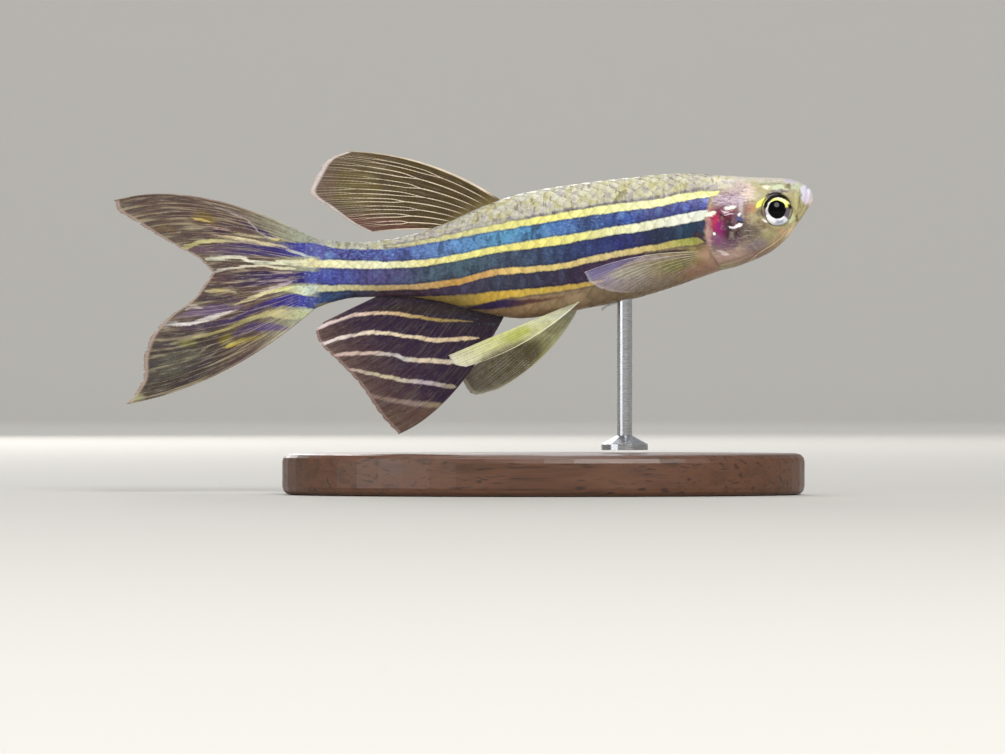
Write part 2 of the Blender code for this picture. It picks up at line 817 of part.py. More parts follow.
def make_stand():
    """An oval base, and a turned rod that stands on it and holds the fish by its belly."""
    shape = bmesh.new()
    bmesh.ops.create_circle(shape, cap_ends=True, radius=1.0, segments=56)
    for vertex in shape.verts:
        vertex.co.x *= BASE_LENGTH / 2 * MM
        vertex.co.y *= BASE_WIDTH / 2 * MM
    raised = bmesh.ops.extrude_face_region(shape, geom=list(shape.faces))
    top = [part for part in raised["geom"] if isinstance(part, bmesh.types.BMVert)]
    bmesh.ops.translate(shape, verts=top, vec=(0.0, 0.0, BASE_HEIGHT * MM))
    mesh = bpy.data.meshes.new("stand_base")
    shape.to_mesh(mesh)
    shape.free()
    base = bpy.data.objects.new("stand_base", mesh)
    bpy.context.scene.collection.objects.link(base)
    face_outwards(base)
    edge = base.modifiers.new("edge", "BEVEL")
    edge.width = BASE_EDGE * MM
    edge.segments = 3
    edge.limit_method = "ANGLE"
    finish_node(base, WALNUT, 0.45)

    foot = BASE_HEIGHT + GAP
    belly_height = place(ROD_BEHIND, 0.0, belly_at(ROD_BEHIND)).z / MM
    top = belly_height + ROD_DEPTH
    profile = [
        (foot, ROD_FOOT_RADIUS),
        (foot + ROD_FOOT_HEIGHT * 0.6, ROD_FOOT_RADIUS),
        (foot + ROD_FOOT_HEIGHT, ROD_FOOT_RADIUS * 0.7),
        (foot + ROD_FOOT_HEIGHT * 1.5, ROD_RADIUS),
        (top - ROD_RADIUS * 0.4, ROD_RADIUS),
        (top, ROD_RADIUS * 0.6),
    ]
    axis = place(ROD_BEHIND, 0.0, 0.0)
    path = [Vector((axis.x, axis.y, height * MM)) for height, radius in profile]
    rod = tube("stand_rod", path, [radius for height, radius in profile], 20)
    finish_node(rod, STEEL, 0.25, 1.0, math.radians(30))


def main():
    clear_scene()
    body = make_body("body")
    make_head(body)
    make_jaw(body)
    make_torso(body)
    make_tail_stem(body)
    bpy.data.objects.remove(body, do_unlink=True)
    make_gill_covers()
    make_eyes()
    make_dorsal_fin()
    make_anal_fin()
    make_tail_fin()
    make_pectoral_fins()
    make_pelvic_fins()
    make_stand()


main()
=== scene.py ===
"""The looks of a life-size zebra danio on its display stand.

The frame holds the solids in metres, +Z up, with the head towards +X. The fish's own sizes are in
millimetres in its own frame: how far behind the tip of the snout, how far to the fish's left, and
how high above the tip of the snout. The markings are laid out in that same side view.
"""

import math
from collections import namedtuple

import bpy
import numpy as np
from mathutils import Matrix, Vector


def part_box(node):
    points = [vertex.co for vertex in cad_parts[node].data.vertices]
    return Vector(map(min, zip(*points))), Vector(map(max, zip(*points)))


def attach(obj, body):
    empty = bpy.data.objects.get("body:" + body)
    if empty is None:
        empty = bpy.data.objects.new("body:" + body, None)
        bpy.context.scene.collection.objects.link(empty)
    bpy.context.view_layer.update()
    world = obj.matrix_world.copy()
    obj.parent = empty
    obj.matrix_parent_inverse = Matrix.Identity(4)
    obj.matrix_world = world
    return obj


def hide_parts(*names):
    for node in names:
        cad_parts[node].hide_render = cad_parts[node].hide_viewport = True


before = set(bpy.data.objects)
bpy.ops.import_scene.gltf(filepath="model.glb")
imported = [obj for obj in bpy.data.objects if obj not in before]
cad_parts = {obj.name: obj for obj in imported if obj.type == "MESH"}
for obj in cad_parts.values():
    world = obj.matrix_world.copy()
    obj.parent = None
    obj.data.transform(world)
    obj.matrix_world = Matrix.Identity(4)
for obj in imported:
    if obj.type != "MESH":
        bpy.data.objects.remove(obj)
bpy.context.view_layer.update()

bl_info = {
    "name": "Zebra danio model",
    "version": (1, 0, 0),
    "blender": (4, 5, 0),
    "location": "View3D > Sidebar > Danio",
    "description": "Skin, scales, eyes, fins, stand and studio of a life-size zebra danio",
    "category": "Object",
}

MM = 0.001
SEED = 7

# The eye is the landmark that ties the fish's frame to the solids
EYE_BEHIND = 2.69
EYE_UP = -0.80
EYE_SIDE = 1.42
EYE_LOW, EYE_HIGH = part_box("eye_right")
SNOUT_X = (EYE_LOW.x + EYE_HIGH.x) / 2 + EYE_BEHIND * MM
SNOUT_Z = (EYE_LOW.z + EYE_HIGH.z) / 2 - EYE_UP * MM

# The body, as stations along the fish
Station = namedtuple("Station", "behind back belly half_width")
BODY = (
    Station(0.0, 0.0, 0.0, 0.0),
    Station(0.22, 0.66, -0.52, 0.56),
    Station(0.95, 1.24, -1.60, 1.10),
    Station(1.67, 1.47, -2.62, 1.42),
    Station(2.76, 1.56, -3.68, 1.72),
    Station(4.20, 1.60, -4.45, 1.92),
    Station(6.76, 1.74, -5.26, 2.08),
    Station(9.67, 1.85, -6.24, 2.20),
    Station(13.3, 1.55, -7.32, 2.32),
    Station(17.7, 1.02, -8.15, 2.26),
    Station(21.3, 0.38, -8.68, 1.98),
    Station(24.2, -0.60, -8.22, 1.66),
    Station(27.1, -1.90, -7.44, 1.34),
    Station(30.0, -2.76, -7.08, 1.06),
    Station(33.2, -3.15, -7.14, 0.80),
    Station(35.2, -2.98, -7.54, 0.60),
    Station(36.4, -2.78, -8.00, 0.30),
    Station(37.2, -2.60, -8.26, 0.04),
)
BODY_END = BODY[-1].behind
WIDEST_AT = 0.56
ROUNDNESS = 2.2
BEND_START = 13.0
FISH_LENGTH = 51.4
BEND_AT_TIP = 5.0

# Where the gill cover ends
GILL_BEHIND = 7.95
GILL_UP = -2.2
GILL_RISE_CURVE = 0.084
GILL_FALL_CURVE = 0.150

SNOUT_RINGS = 22
SNOUT_END = 0.5
HEAD_END = 8.6
HEAD_STEP = 0.056
BODY_STEP = 0.17


def monotone_slopes(xs, ys):
    """Slopes for a smooth curve through the points that never overshoots them."""
    steps = [(ys[i + 1] - ys[i]) / (xs[i + 1] - xs[i]) for i in range(len(xs) - 1)]
    slopes = [steps[0]]
    for before, after in zip(steps, steps[1:]):
        slopes.append(0.0 if before * after <= 0 else 2 * before * after / (before + after))
    slopes.append(steps[-1])
    return slopes


def flowing_slopes(xs, ys):
    """Slopes of a flowing curve, each from the two neighbouring points."""
    last = len(xs) - 1
    pairs = [(max(i - 1, 0), min(i + 1, last)) for i in range(last + 1)]
    return [(ys[high] - ys[low]) / (xs[high] - xs[low]) for low, high in pairs]


def cubic_at(xs, ys, slopes, x):
    """The cubic through the points, at every x of an array."""
    xs, ys, slopes = np.array(xs), np.array(ys), np.array(slopes)
    i = np.clip(np.searchsorted(xs, x) - 1, 0, len(xs) - 2)
    width = xs[i + 1] - xs[i]
    t = np.clip((x - xs[i]) / width, 0.0, 1.0)
    start = (1 + 2 * t) * (1 - t) ** 2 * ys[i] + t * (1 - t) ** 2 * width * slopes[i]
    end = t * t * (3 - 2 * t) * ys[i + 1] + t * t * (t - 1) * width * slopes[i + 1]
    return start + end


def profile_of(field):
    """The back, belly or half width against the root of the distance, which rounds the snout."""
    xs = [math.sqrt(station.behind) for station in BODY]
    ys = [getattr(station, field) for station in BODY]
    slopes = monotone_slopes(xs, ys)
    return lambda behind: cubic_at(xs, ys, slopes, np.sqrt(np.maximum(behind, 0.0)))


back_at = profile_of("back")
belly_at = profile_of("belly")
half_width_at = profile_of("half_width")


def waist_at(behind):
    return belly_at(behind) + WIDEST_AT * (back_at(behind) - belly_at(behind))


def bend_at(behind):
    share = np.maximum(behind - BEND_START, 0.0) / (FISH_LENGTH - BEND_START)
    return BEND_AT_TIP * share * share


def place(spots):
    """Points of the fish's frame, an array of (behind, left, up), in the scene."""
    behind, left, up = spots[..., 0], spots[..., 1], spots[..., 2]
    x = SNOUT_X - behind * MM
    y = (bend_at(behind) + left) * MM
    return np.stack([x, y, SNOUT_Z + up * MM], axis=-1)


def section_spots(behind, angle):
    """Points of the skin in the fish's frame: angle 0 is the back, a quarter turn the left."""
    waist = waist_at(behind)
    rise = np.where(np.cos(angle) > 0, back_at(behind), belly_at(behind)) - waist
    power = 2 / ROUNDNESS
    across = np.sign(np.sin(angle)) * np.abs(np.sin(angle)) ** power
    up = waist + rise * np.abs(np.cos(angle)) ** power
    return np.stack([behind + 0 * up, half_width_at(behind) * across, up], axis=-1)


def flank_at(behind, up):
    """The half width of the body at a height, 0 above the back and below the belly."""
    waist = waist_at(behind)
    reach = np.where(up > waist, back_at(behind), belly_at(behind)) - waist
    share = np.abs((up - waist) / reach)
    return half_width_at(behind) * np.maximum(1 - share**ROUNDNESS, 0.0) ** (1 / ROUNDNESS)


def off_skin(behind, up, sign, clear):
    """A point that far off the skin, at the given height, along the skin's normal."""
    step = 0.02
    side = flank_at(behind, up)
    slope_up = (flank_at(behind, up + step) - flank_at(behind, up - step)) / (2 * step)
    slope_back = (flank_at(behind + step, up) - flank_at(behind - step, up)) / (2 * step)
    normal = Vector((-slope_back, 1.0, -slope_up)).normalized() * clear
    return (behind + normal.x, sign * (side + normal.y), up + normal.z)


def curve_through(knots):
    """A smooth line through the knots, as a function of an array of shares along it."""
    knots = np.array(knots, float)
    lengths = np.linalg.norm(np.diff(knots, axis=0), axis=1)
    spots = np.concatenate([[0.0], np.cumsum(lengths)]) / lengths.sum()
    columns = [(knots[:, i], flowing_slopes(spots, knots[:, i])) for i in range(knots.shape[1])]

    def line(share):
        share = np.asarray(share, float)
        return np.stack([cubic_at(spots, ys, slopes, share) for ys, slopes in columns], axis=-1)

    return line


def smooth(x):
    """Rises smoothly from 0 to 1 as x does."""
    x = np.clip(x, 0.0, 1.0)
    return x * x * (3 - 2 * x)


def hump(x):
    return np.exp(-x * x)


def gill_edge(up):
    """The gill opening's distance behind the snout at a height."""
    curve = np.where(up > GILL_UP, GILL_RISE_CURVE, GILL_FALL_CURVE)
    return GILL_BEHIND - curve * (up - GILL_UP) ** 2


def linear(red, green, blue):
    """A colour given as it looks on a screen, 0 to 255, in the renderer's linear values."""

    def straight(value):
        value /= 255
        return value / 12.92 if value <= 0.04045 else ((value + 0.055) / 1.055) ** 2.4

    return (straight(red), straight(green), straight(blue), 1.0)


class Wiring:
    """Adds nodes to a shader or geometry tree and links them."""

    def __init__(self, tree):
        self.tree = tree

    def add(self, kind, inputs=None, **settings):
        node = self.tree.nodes.new(kind)
        for name, value in settings.items():
            setattr(node, name, value)
        self.dress(node, inputs or {})
        return node

    def feed(self, socket, value):
        if isinstance(value, bpy.types.NodeSocket):
            self.tree.links.new(value, socket)
        elif value is not None:
            socket.default_value = value

    def dress(self, node, values):
        for name, value in values.items():
            self.feed(node.inputs[name], value)

    def math(self, operation, *values, clamp=False):
        node = self.add("ShaderNodeMath", operation=operation, use_clamp=clamp)
        for socket, value in zip(node.inputs, values):
            self.feed(socket, value)
        return node.outputs[0]

    def times(self, *values):
        return self.math("MULTIPLY", *values)

    def plus(self, *values):
        return self.math("ADD", *values)

    def less(self, *values):
        return self.math("SUBTRACT", *values)

    def mad(self, *values):
        """The first value times the second plus the third."""
        return self.math("MULTIPLY_ADD", *values)

    def vector(self, operation, *values):
        node = self.add("ShaderNodeVectorMath", operation=operation)
        for socket, value in zip(node.inputs, values):
            self.feed(socket, value)
        return node.outputs["Value" if operation in ("LENGTH", "DISTANCE") else "Vector"]

    def mix(self, factor, under, over, blend="MIX"):
        """Lays one colour over another."""
        node = self.add("ShaderNodeMix", data_type="RGBA", blend_type=blend)
        node.clamp_result = True
        self.feed(node.inputs[0], factor)
        self.feed(node.inputs[6], under)
        self.feed(node.inputs[7], over)
        return node.outputs[2]

    def fade(self, value, low, high, to_low=0.0, to_high=1.0, kind="SMOOTHSTEP"):
        """Runs smoothly from to_low to to_high as the value goes from low to high."""
        node = self.add("ShaderNodeMapRange", interpolation_type=kind)
        for socket, given in zip(node.inputs, (value, low, high, to_low, to_high)):
            self.feed(socket, given)
        return node.outputs[0]

    def share(self, value, low, high):
        """How far a value has come from low to high."""
        return self.fade(value, low, high, kind="LINEAR")

    def ramp(self, value, stops):
        """Colours along a value, as (place, colour) stops."""
        node = self.add("ShaderNodeValToRGB", {0: value})
        elements = node.color_ramp.elements
        for i, (spot, colour) in enumerate(stops):
            element = elements[i] if i < 2 else elements.new(spot)
            element.position = spot
            element.color = colour
        return node.outputs[0]

    def curve(self, value, points):
        """A smooth curve of y against x through points inside the unit square."""
        node = self.add("ShaderNodeFloatCurve", {1: value})
        line = node.mapping.curves[0].points
        for i, (x, y) in enumerate(points):
            point = line[min(i, 1)] if i < 2 else line.new(x, y)
            point.location = (x, y)
        for point in line:
            point.handle_type = "AUTO_CLAMPED"
        node.mapping.update()
        return node.outputs[0]

    def noise(self, vector, scale, detail=2.0, roughness=0.5, colour=False):
        inputs = {"Vector": vector, "Scale": scale, "Detail": detail, "Roughness": roughness}
        node = self.add("ShaderNodeTexNoise", inputs)
        return node.outputs["Color" if colour else "Fac"]

    def attribute(self, name, output="Fac"):
        return self.add("ShaderNodeAttribute", attribute_name=name).outputs[output]

    def bump(self, height, strength, distance):
        inputs = {"Height": height, "Strength": strength, "Distance": distance}
        return self.add("ShaderNodeBump", inputs).outputs[0]


def new_material(name):
    """A new material with its wiring and its shader."""
    material = bpy.data.materials.new(name)
    material.use_nodes = True
    return material, Wiring(material.node_tree), material.node_tree.nodes["Principled BSDF"]


def side_view(wires):
    """The side-view place in millimetres of a shaded point: (vector, behind, up)."""
    where = wires.add("ShaderNodeTexCoord").outputs["Object"]
    parts = wires.add("ShaderNodeSeparateXYZ", {0: where}).outputs
    behind = wires.mad(parts[0], -1 / MM, SNOUT_X / MM)
    left = wires.times(parts[1], 1 / MM)
    up = wires.mad(parts[2], 1 / MM, -SNOUT_Z / MM)
    spot = wires.add("ShaderNodeCombineXYZ", {0: behind, 1: left, 2: up}).outputs[0]
    return spot, behind, up


def strayed(wires, spot, *strays):
    """Behind and up of a place that strays to and fro, by (cycles a millimetre, millimetres)."""
    for scale, reach in strays:
        drift = wires.noise(spot, scale, 2.0, colour=True)
        spot = wires.vector("MULTIPLY_ADD", drift, (reach,) * 3, spot)
        spot = wires.vector("SUBTRACT", spot, (reach / 2,) * 3)
    parts = wires.add("ShaderNodeSeparateXYZ", {0: spot}).outputs
    return parts[0], parts[2]


class Track:
    """A quantity along the fish, as a curve node over its own stretch."""

    def __init__(self, wires, behind, knots):
        self.start, self.end = knots[0][0], knots[-1][0]
        self.low = min(value for _, value in knots)
        self.span = max(max(value for _, value in knots) - self.low, 0.01)
        length = self.end - self.start
        share = wires.share(behind, self.start, self.end)
        points = [((x - self.start) / length, (y - self.low) / self.span) for x, y in knots]
        height = wires.curve(share, points)
        self.share = share
        self.value = wires.mad(height, self.span, self.low)


def along_ramp(wires, share, colours):
    """The colour along a stripe. Colours are (share, red, green, blue)."""
    return wires.ramp(share, [(spot, linear(*rgb)) for spot, *rgb in colours])


Stripe = namedtuple("Stripe", "knots colours soft strength", defaults=(0.07, 1.0))


def lay_stripes(wires, colour, behind, up, stripes, rim=0.0):
    """Paints stripes over a colour. Each has knots (behind, up, half width) along its middle. Rim is
    the strength of the thin dark lines along them."""
    for stripe in stripes:
        middle = Track(wires, behind, [(x, y) for x, y, _ in stripe.knots])
        half = Track(wires, behind, [(x, half) for x, _, half in stripe.knots])
        away = wires.math("ABSOLUTE", wires.less(up, middle.value))
        inside = wires.less(half.value, away)
        cover = wires.fade(inside, -stripe.soft, stripe.soft, 0.0, stripe.strength)
        paint = along_ramp(wires, middle.share, stripe.colours)
        ends = wires.math("GREATER_THAN", half.value, 0.006)
        if rim:
            border = wires.times(ends, wires.fade(inside, -0.22, -0.07, 0.0, rim))
            colour = wires.mix(border, colour, linear(26, 26, 48))
        colour = wires.mix(wires.times(cover, ends), colour, paint)
    return colour


Blot = namedtuple("Blot", "behind up long high colour strength turn soft", defaults=(1, 0, 1))


def lay_blots(wires, colour, behind, up, blots):
    """Paints soft oval patches over a colour. Turn tips a patch's tail end up, in degrees."""
    for blot in blots:
        cos, sin = math.cos(math.radians(blot.turn)), math.sin(math.radians(blot.turn))
        dx = wires.less(behind, blot.behind)
        dy = wires.less(up, blot.up)
        along = wires.mad(dx, cos / blot.long, wires.times(dy, sin / blot.long))
        over = wires.mad(dy, cos / blot.high, wires.times(dx, -sin / blot.high))
        along = wires.times(along, along)
        reach = wires.math("SQRT", wires.mad(over, over, along))
        cover = wires.fade(reach, 1 + blot.soft / 2, 1 - blot.soft / 2, 0.0, blot.strength)
        colour = wires.mix(cover, colour, linear(*blot.colour))
    return colour


# The flank, from the back down. Each band ends at an edge, whose knots are (behind, up). The flank is
# nearer to the camera than the outline, so its marks lie lower than they look, by FLANK_DROP
BACK_COLOURS = ((0.0, 205, 198, 180), (0.2, 208, 204, 168), (0.45, 212, 209, 188), (0.7, 206, 200, 184), (1.0, 190, 198, 175))
FLANK_DROP = ((8.0, 0.0), (12.6, 0.07), (17.0, 0.17), (20.0, 0.21), (24.0, 0.15), (29.0, 0.14), (36.3, 0.0))
BAND_EDGES = (
    ((6.0, 0.45), (8.95, 0.02), (11.85, -0.60), (15.5, -0.95), (18.4, -1.35), (22.8, -2.15), (26.4, -2.78),
     (28.6, -3.20), (30.0, -3.42), (33.7, -3.56), (35.85, -3.30), (37.3, -3.05), (38.4, -2.9)),
    ((6.0, -3.2), (8.95, -3.13), (11.85, -3.56), (15.5, -4.15), (18.4, -4.73), (22.8, -5.16), (26.4, -5.97),
     (30.0, -6.31), (33.7, -6.36), (35.85, -6.47), (38.4, -6.40)),
    ((8.0, -3.3), (10.5, -3.35), (12.6, -4.15), (13.9, -4.75), (15.5, -5.55), (16.9, -5.98), (18.4, -6.17),
     (22.8, -6.53), (26.4, -6.86), (30.0, -7.02), (33.7, -7.22), (35.85, -7.56), (38.4, -7.95)),
)
BLUE_ONE = (
    (0.03, 84, 92, 178), (0.09, 60, 62, 146), (0.19, 66, 68, 132), (0.24, 52, 80, 160), (0.33, 62, 88, 148),
    (0.40, 78, 118, 186), (0.47, 88, 148, 196), (0.53, 100, 168, 210), (0.62, 98, 146, 202),
    (0.68, 108, 146, 206), (0.75, 92, 108, 182), (0.85, 76, 78, 148), (0.92, 84, 80, 158), (1.0, 88, 84, 170),
)
BLUE_TWO = (
    (0.05, 54, 58, 92), (0.10, 36, 66, 92), (0.18, 42, 46, 78), (0.25, 46, 50, 122), (0.33, 50, 60, 118),
    (0.41, 58, 74, 112), (0.52, 72, 84, 104), (0.61, 74, 98, 112), (0.70, 80, 98, 114), (0.77, 86, 82, 128),
    (0.84, 90, 82, 142), (0.90, 84, 88, 172), (0.96, 58, 62, 160), (1.0, 42, 34, 116),
)
BLUE_THREE = (
    (0.10, 110, 80, 100), (0.25, 86, 56, 84), (0.34, 68, 48, 76), (0.45, 60, 56, 78), (0.55, 64, 66, 86),
    (0.64, 78, 62, 90), (0.72, 94, 68, 86), (0.80, 98, 72, 80), (0.88, 68, 76, 104), (0.94, 58, 82, 128),
    (1.0, 56, 64, 150),
)
BELLY_COLOURS = (
    (0.0, 172, 134, 118), (0.1, 164, 138, 110), (0.2, 166, 148, 116), (0.32, 160, 138, 108), (0.5, 164, 136, 102),
    (0.62, 148, 126, 88), (0.75, 150, 134, 86), (1.0, 150, 150, 120),
)
YELLOW_ONE = Stripe(
    ((6.3, 0.42, 0.0), (6.8, 0.38, 0.16), (8.95, 0.18, 0.25), (11.85, -0.36, 0.28), (15.5, -0.73, 0.29), (18.4, -1.13, 0.26),
     (22.8, -1.89, 0.22), (26.4, -2.62, 0.17), (28.6, -3.03, 0.12), (30.0, -3.22, 0.07), (31.4, -3.34, 0.0)),
    ((0.0, 236, 232, 150), (0.1, 248, 246, 160), (0.25, 250, 250, 186), (0.35, 250, 248, 168), (0.5, 251, 242, 140),
     (0.62, 246, 241, 146), (0.74, 228, 222, 152), (0.85, 212, 206, 148), (1.0, 200, 194, 156)),
)
YELLOW_TWO = Stripe(
    ((6.9, -1.0, 0.0), (7.3, -1.10, 0.22), (8.95, -1.38, 0.36), (11.85, -1.89, 0.31), (15.5, -2.40, 0.30), (18.4, -2.84, 0.30),
     (22.8, -3.49, 0.24), (26.4, -4.22, 0.23), (30.0, -4.65, 0.24), (33.7, -4.69, 0.28), (35.85, -4.69, 0.29),
     (38.4, -4.62, 0.30)),
    ((0.0, 232, 238, 222), (0.1, 250, 251, 232), (0.2, 252, 252, 206), (0.32, 251, 246, 152), (0.42, 251, 240, 136),
     (0.55, 250, 242, 146), (0.66, 250, 240, 160), (0.78, 251, 250, 208), (0.88, 250, 246, 196), (1.0, 242, 228, 156)),
)
YELLOW_THREE = Stripe(
    ((7.8, -3.15, 0.0), (8.3, -3.10, 0.16), (8.95, -3.13, 0.26), (11.85, -3.56, 0.21), (15.5, -4.15, 0.21), (18.4, -4.73, 0.21),
     (22.8, -5.16, 0.22), (26.4, -5.97, 0.22), (30.0, -6.31, 0.19), (33.7, -6.36, 0.20), (35.85, -6.47, 0.24),
     (38.4, -6.40, 0.26)),
    ((0.0, 168, 152, 92), (0.04, 178, 182, 92), (0.12, 226, 206, 128), (0.22, 245, 222, 160), (0.35, 240, 216, 138),
     (0.45, 246, 216, 132), (0.52, 226, 178, 110), (0.60, 216, 168, 88), (0.68, 226, 188, 132), (0.78, 204, 184, 132),
     (0.88, 226, 222, 172), (1.0, 214, 222, 196)),
)
YELLOW_FOUR = Stripe(
    ((14.8, -5.60, 0.0), (15.6, -5.94, 0.12), (16.9, -6.12, 0.17), (18.4, -6.34, 0.18), (19.9, -6.50, 0.20), (22.8, -6.86, 0.27),
     (24.2, -7.10, 0.36), (26.4, -7.28, 0.36), (28.6, -7.25, 0.26), (30.0, -7.15, 0.14), (31.6, -7.15, 0.0)),
    ((0.0, 222, 190, 110), (0.15, 220, 184, 92), (0.3, 222, 190, 84), (0.45, 230, 190, 78), (0.53, 214, 176, 72),
     (0.62, 176, 152, 78), (0.8, 168, 146, 92), (1.0, 160, 130, 90)),
)
DARK_FOUR = Stripe(
    ((18.0, -6.9, 0.0), (19.9, -7.15, 0.12), (21.3, -7.33, 0.24), (22.8, -7.50, 0.30), (24.2, -7.72, 0.20), (25.6, -7.9, 0.0)),
    ((0.0, 124, 84, 60), (0.35, 96, 62, 60), (0.6, 52, 40, 84), (0.9, 60, 48, 80), (1.0, 80, 70, 70)),
    0.12,
)
CHEST_BLOTS = (
    Blot(8.55, -5.1, 1.3, 0.45, (166, 128, 108), 0.8, -14),
    Blot(10.1, -4.85, 1.1, 0.42, (134, 134, 66), 0.75, -8),
    Blot(12.4, -6.2, 2.8, 0.5, (146, 126, 98), 0.7, -14),
    Blot(8.95, -4.5, 0.9, 0.34, (150, 130, 84), 0.8),
    Blot(8.35, -2.75, 0.5, 0.3, (70, 52, 52), 0.8, 10),
    Blot(8.2, -3.5, 0.4, 0.5, (134, 110, 74), 0.8),
    Blot(8.9, -3.62, 0.55, 0.24, (140, 130, 74), 0.7, -8),
    Blot(10.8, -3.88, 1.6, 0.12, (54, 40, 40), 0.9, -6, 0.8),
)
LILAC_LINE = Stripe(
    ((7.2, 0.80, 0.0), (8.95, 0.60, 0.10), (11.1, 0.20, 0.12), (12.6, 0.0, 0.13), (15.5, -0.38, 0.14), (18.4, -0.75, 0.13),
     (20.6, -1.10, 0.13), (22.8, -1.38, 0.11), (25.5, -1.98, 0.08), (27.5, -2.4, 0.0)),
    ((0.0, 96, 84, 78), (0.2, 78, 70, 102), (0.5, 98, 94, 122), (0.8, 132, 128, 140), (1.0, 160, 152, 154)),
    0.10,
    0.75,
)

# The head, as soft patches over one ground colour
HEAD_GROUND = (172, 162, 120)
HEAD_BLOTS = (
    # A painted highlight: the pale band of light along the top edge of the head
    Blot(3.2, 1.45, 4.6, 0.34, (197, 189, 174)),
    Blot(1.65, 1.25, 0.5, 0.24, (182, 174, 200), 0.7, 20),
    Blot(4.5, 0.95, 0.85, 0.4, (168, 162, 108), 0.9),
    Blot(3.1, 1.12, 1, 0.2, (142, 142, 112), 0.7),
    Blot(2.55, 0.78, 0.62, 0.24, (206, 214, 180), 0.95),
    Blot(3.45, 0.82, 0.28, 0.13, (246, 240, 210), 0.9),
    Blot(1.85, 0.9, 0.26, 0.22, (134, 128, 98), 0.85),
    Blot(1.25, 0.85, 0.4, 0.36, (200, 206, 180), 0.9),
    Blot(1.42, 0.4, 0.2, 0.3, (146, 144, 122), 0.8),
    Blot(1.22, -0.35, 0.34, 0.95, (178, 172, 118), 0.9, 0, 0.9),
    Blot(1.3, -0.3, 0.06, 0.7, (200, 196, 146), 0.8),
    Blot(0.64, 0.46, 0.36, 0.66, (206, 206, 226), 1, 10, 0.7),
    Blot(0.3, 0.3, 0.34, 0.72, (220, 212, 226), 1, 14, 0.6),
    Blot(0.06, -0.05, 0.14, 0.7, (244, 220, 210), 1, 14, 0.8),
    Blot(0.98, -0.15, 0.08, 0.7, (118, 112, 70), 0.75),
    Blot(0.85, -1.15, 0.34, 0.5, (186, 176, 128), 0.8, 20),
    Blot(1.62, -1.42, 0.26, 0.56, (212, 220, 166), 0.95, -28, 0.9),
    Blot(1.2, -1.48, 0.12, 0.26, (84, 76, 22), 0.9),
    Blot(1.28, -1.95, 0.34, 0.24, (216, 190, 146), 0.9, -40, 0.9),
    Blot(1.85, -2.5, 0.55, 0.24, (240, 214, 170), 0.9, -52, 0.9),
    Blot(2.5, -2.45, 0.5, 0.28, (196, 156, 116), 0.85, -10, 0.9),
    Blot(3.25, -2.62, 0.7, 0.45, (160, 150, 108), 0.9),
    Blot(2.75, -3.35, 0.95, 0.42, (176, 150, 114), 0.9, -34, 0.9),
    Blot(4.25, -3.5, 0.95, 0.62, (132, 116, 120), 0.9, -20),
    Blot(4.1, -4.3, 1.6, 0.5, (158, 128, 116), 0.9, -20, 0.9),
    Blot(3.65, -1.9, 0.55, 0.26, (120, 100, 66), 0.8, 25),
    Blot(4.6, -2.4, 0.8, 0.62, (98, 82, 76), 0.85, 0, 1.2),
    Blot(3.85, -1.05, 0.4, 0.28, (108, 92, 78), 0.85, 10),
    Blot(4.6, -0.65, 0.36, 0.4, (190, 128, 112), 0.75, 0, 1.1),
    Blot(4.33, -0.8, 0.14, 0.24, (190, 150, 76), 0.6, 0, 1.1),
    Blot(4.9, 0.45, 0.55, 0.62, (232, 208, 188), 0.9),
    Blot(5.75, 0.75, 1.05, 0.62, (196, 176, 176), 0.85, 0, 1.1),
    Blot(6.9, 1.15, 1.2, 0.45, (190, 184, 146), 0.8),
)
COVER_BLOTS = (
    Blot(6.3, -1.55, 1.45, 1.75, (124, 76, 90), 0.9, 0, 0.9),
    Blot(6.15, -0.15, 1.15, 0.48, (176, 154, 172), 0.9),
    Blot(6.45, -3.15, 1.3, 0.8, (112, 80, 104), 0.9, -10, 1.1),
    Blot(7.62, -1.75, 0.3, 1.1, (190, 120, 128), 0.7, 6),
    Blot(6.62, -1.75, 1.05, 1.05, (112, 22, 70), 1, -14, 0.6),
    Blot(6.15, -1.35, 0.66, 0.26, (96, 24, 44), 0.9, 4),
    Blot(7.22, -1.62, 0.36, 0.7, (178, 42, 84), 0.95, -8),
    Blot(6.78, -2.2, 0.44, 0.46, (146, 20, 108), 0.95, -20),
    Blot(5.9, -2.3, 0.72, 0.8, (58, 28, 44), 1, -10),
    Blot(7, -3, 0.45, 0.36, (128, 72, 112), 0.8, 0, 1.1),
    Blot(5.55, -1.6, 0.4, 0.55, (112, 82, 96), 0.85),
    Blot(5, -2.3, 0.45, 0.6, (98, 90, 78), 0.75),
    Blot(7.7, -3, 0.26, 1.2, (178, 138, 132), 0.85),
    Blot(6.4, -4.3, 1.7, 0.52, (176, 144, 134), 0.9, -14),
    Blot(6.55, -3.95, 0.45, 0.1, (226, 212, 214), 0.7, 18, 0.9),
)
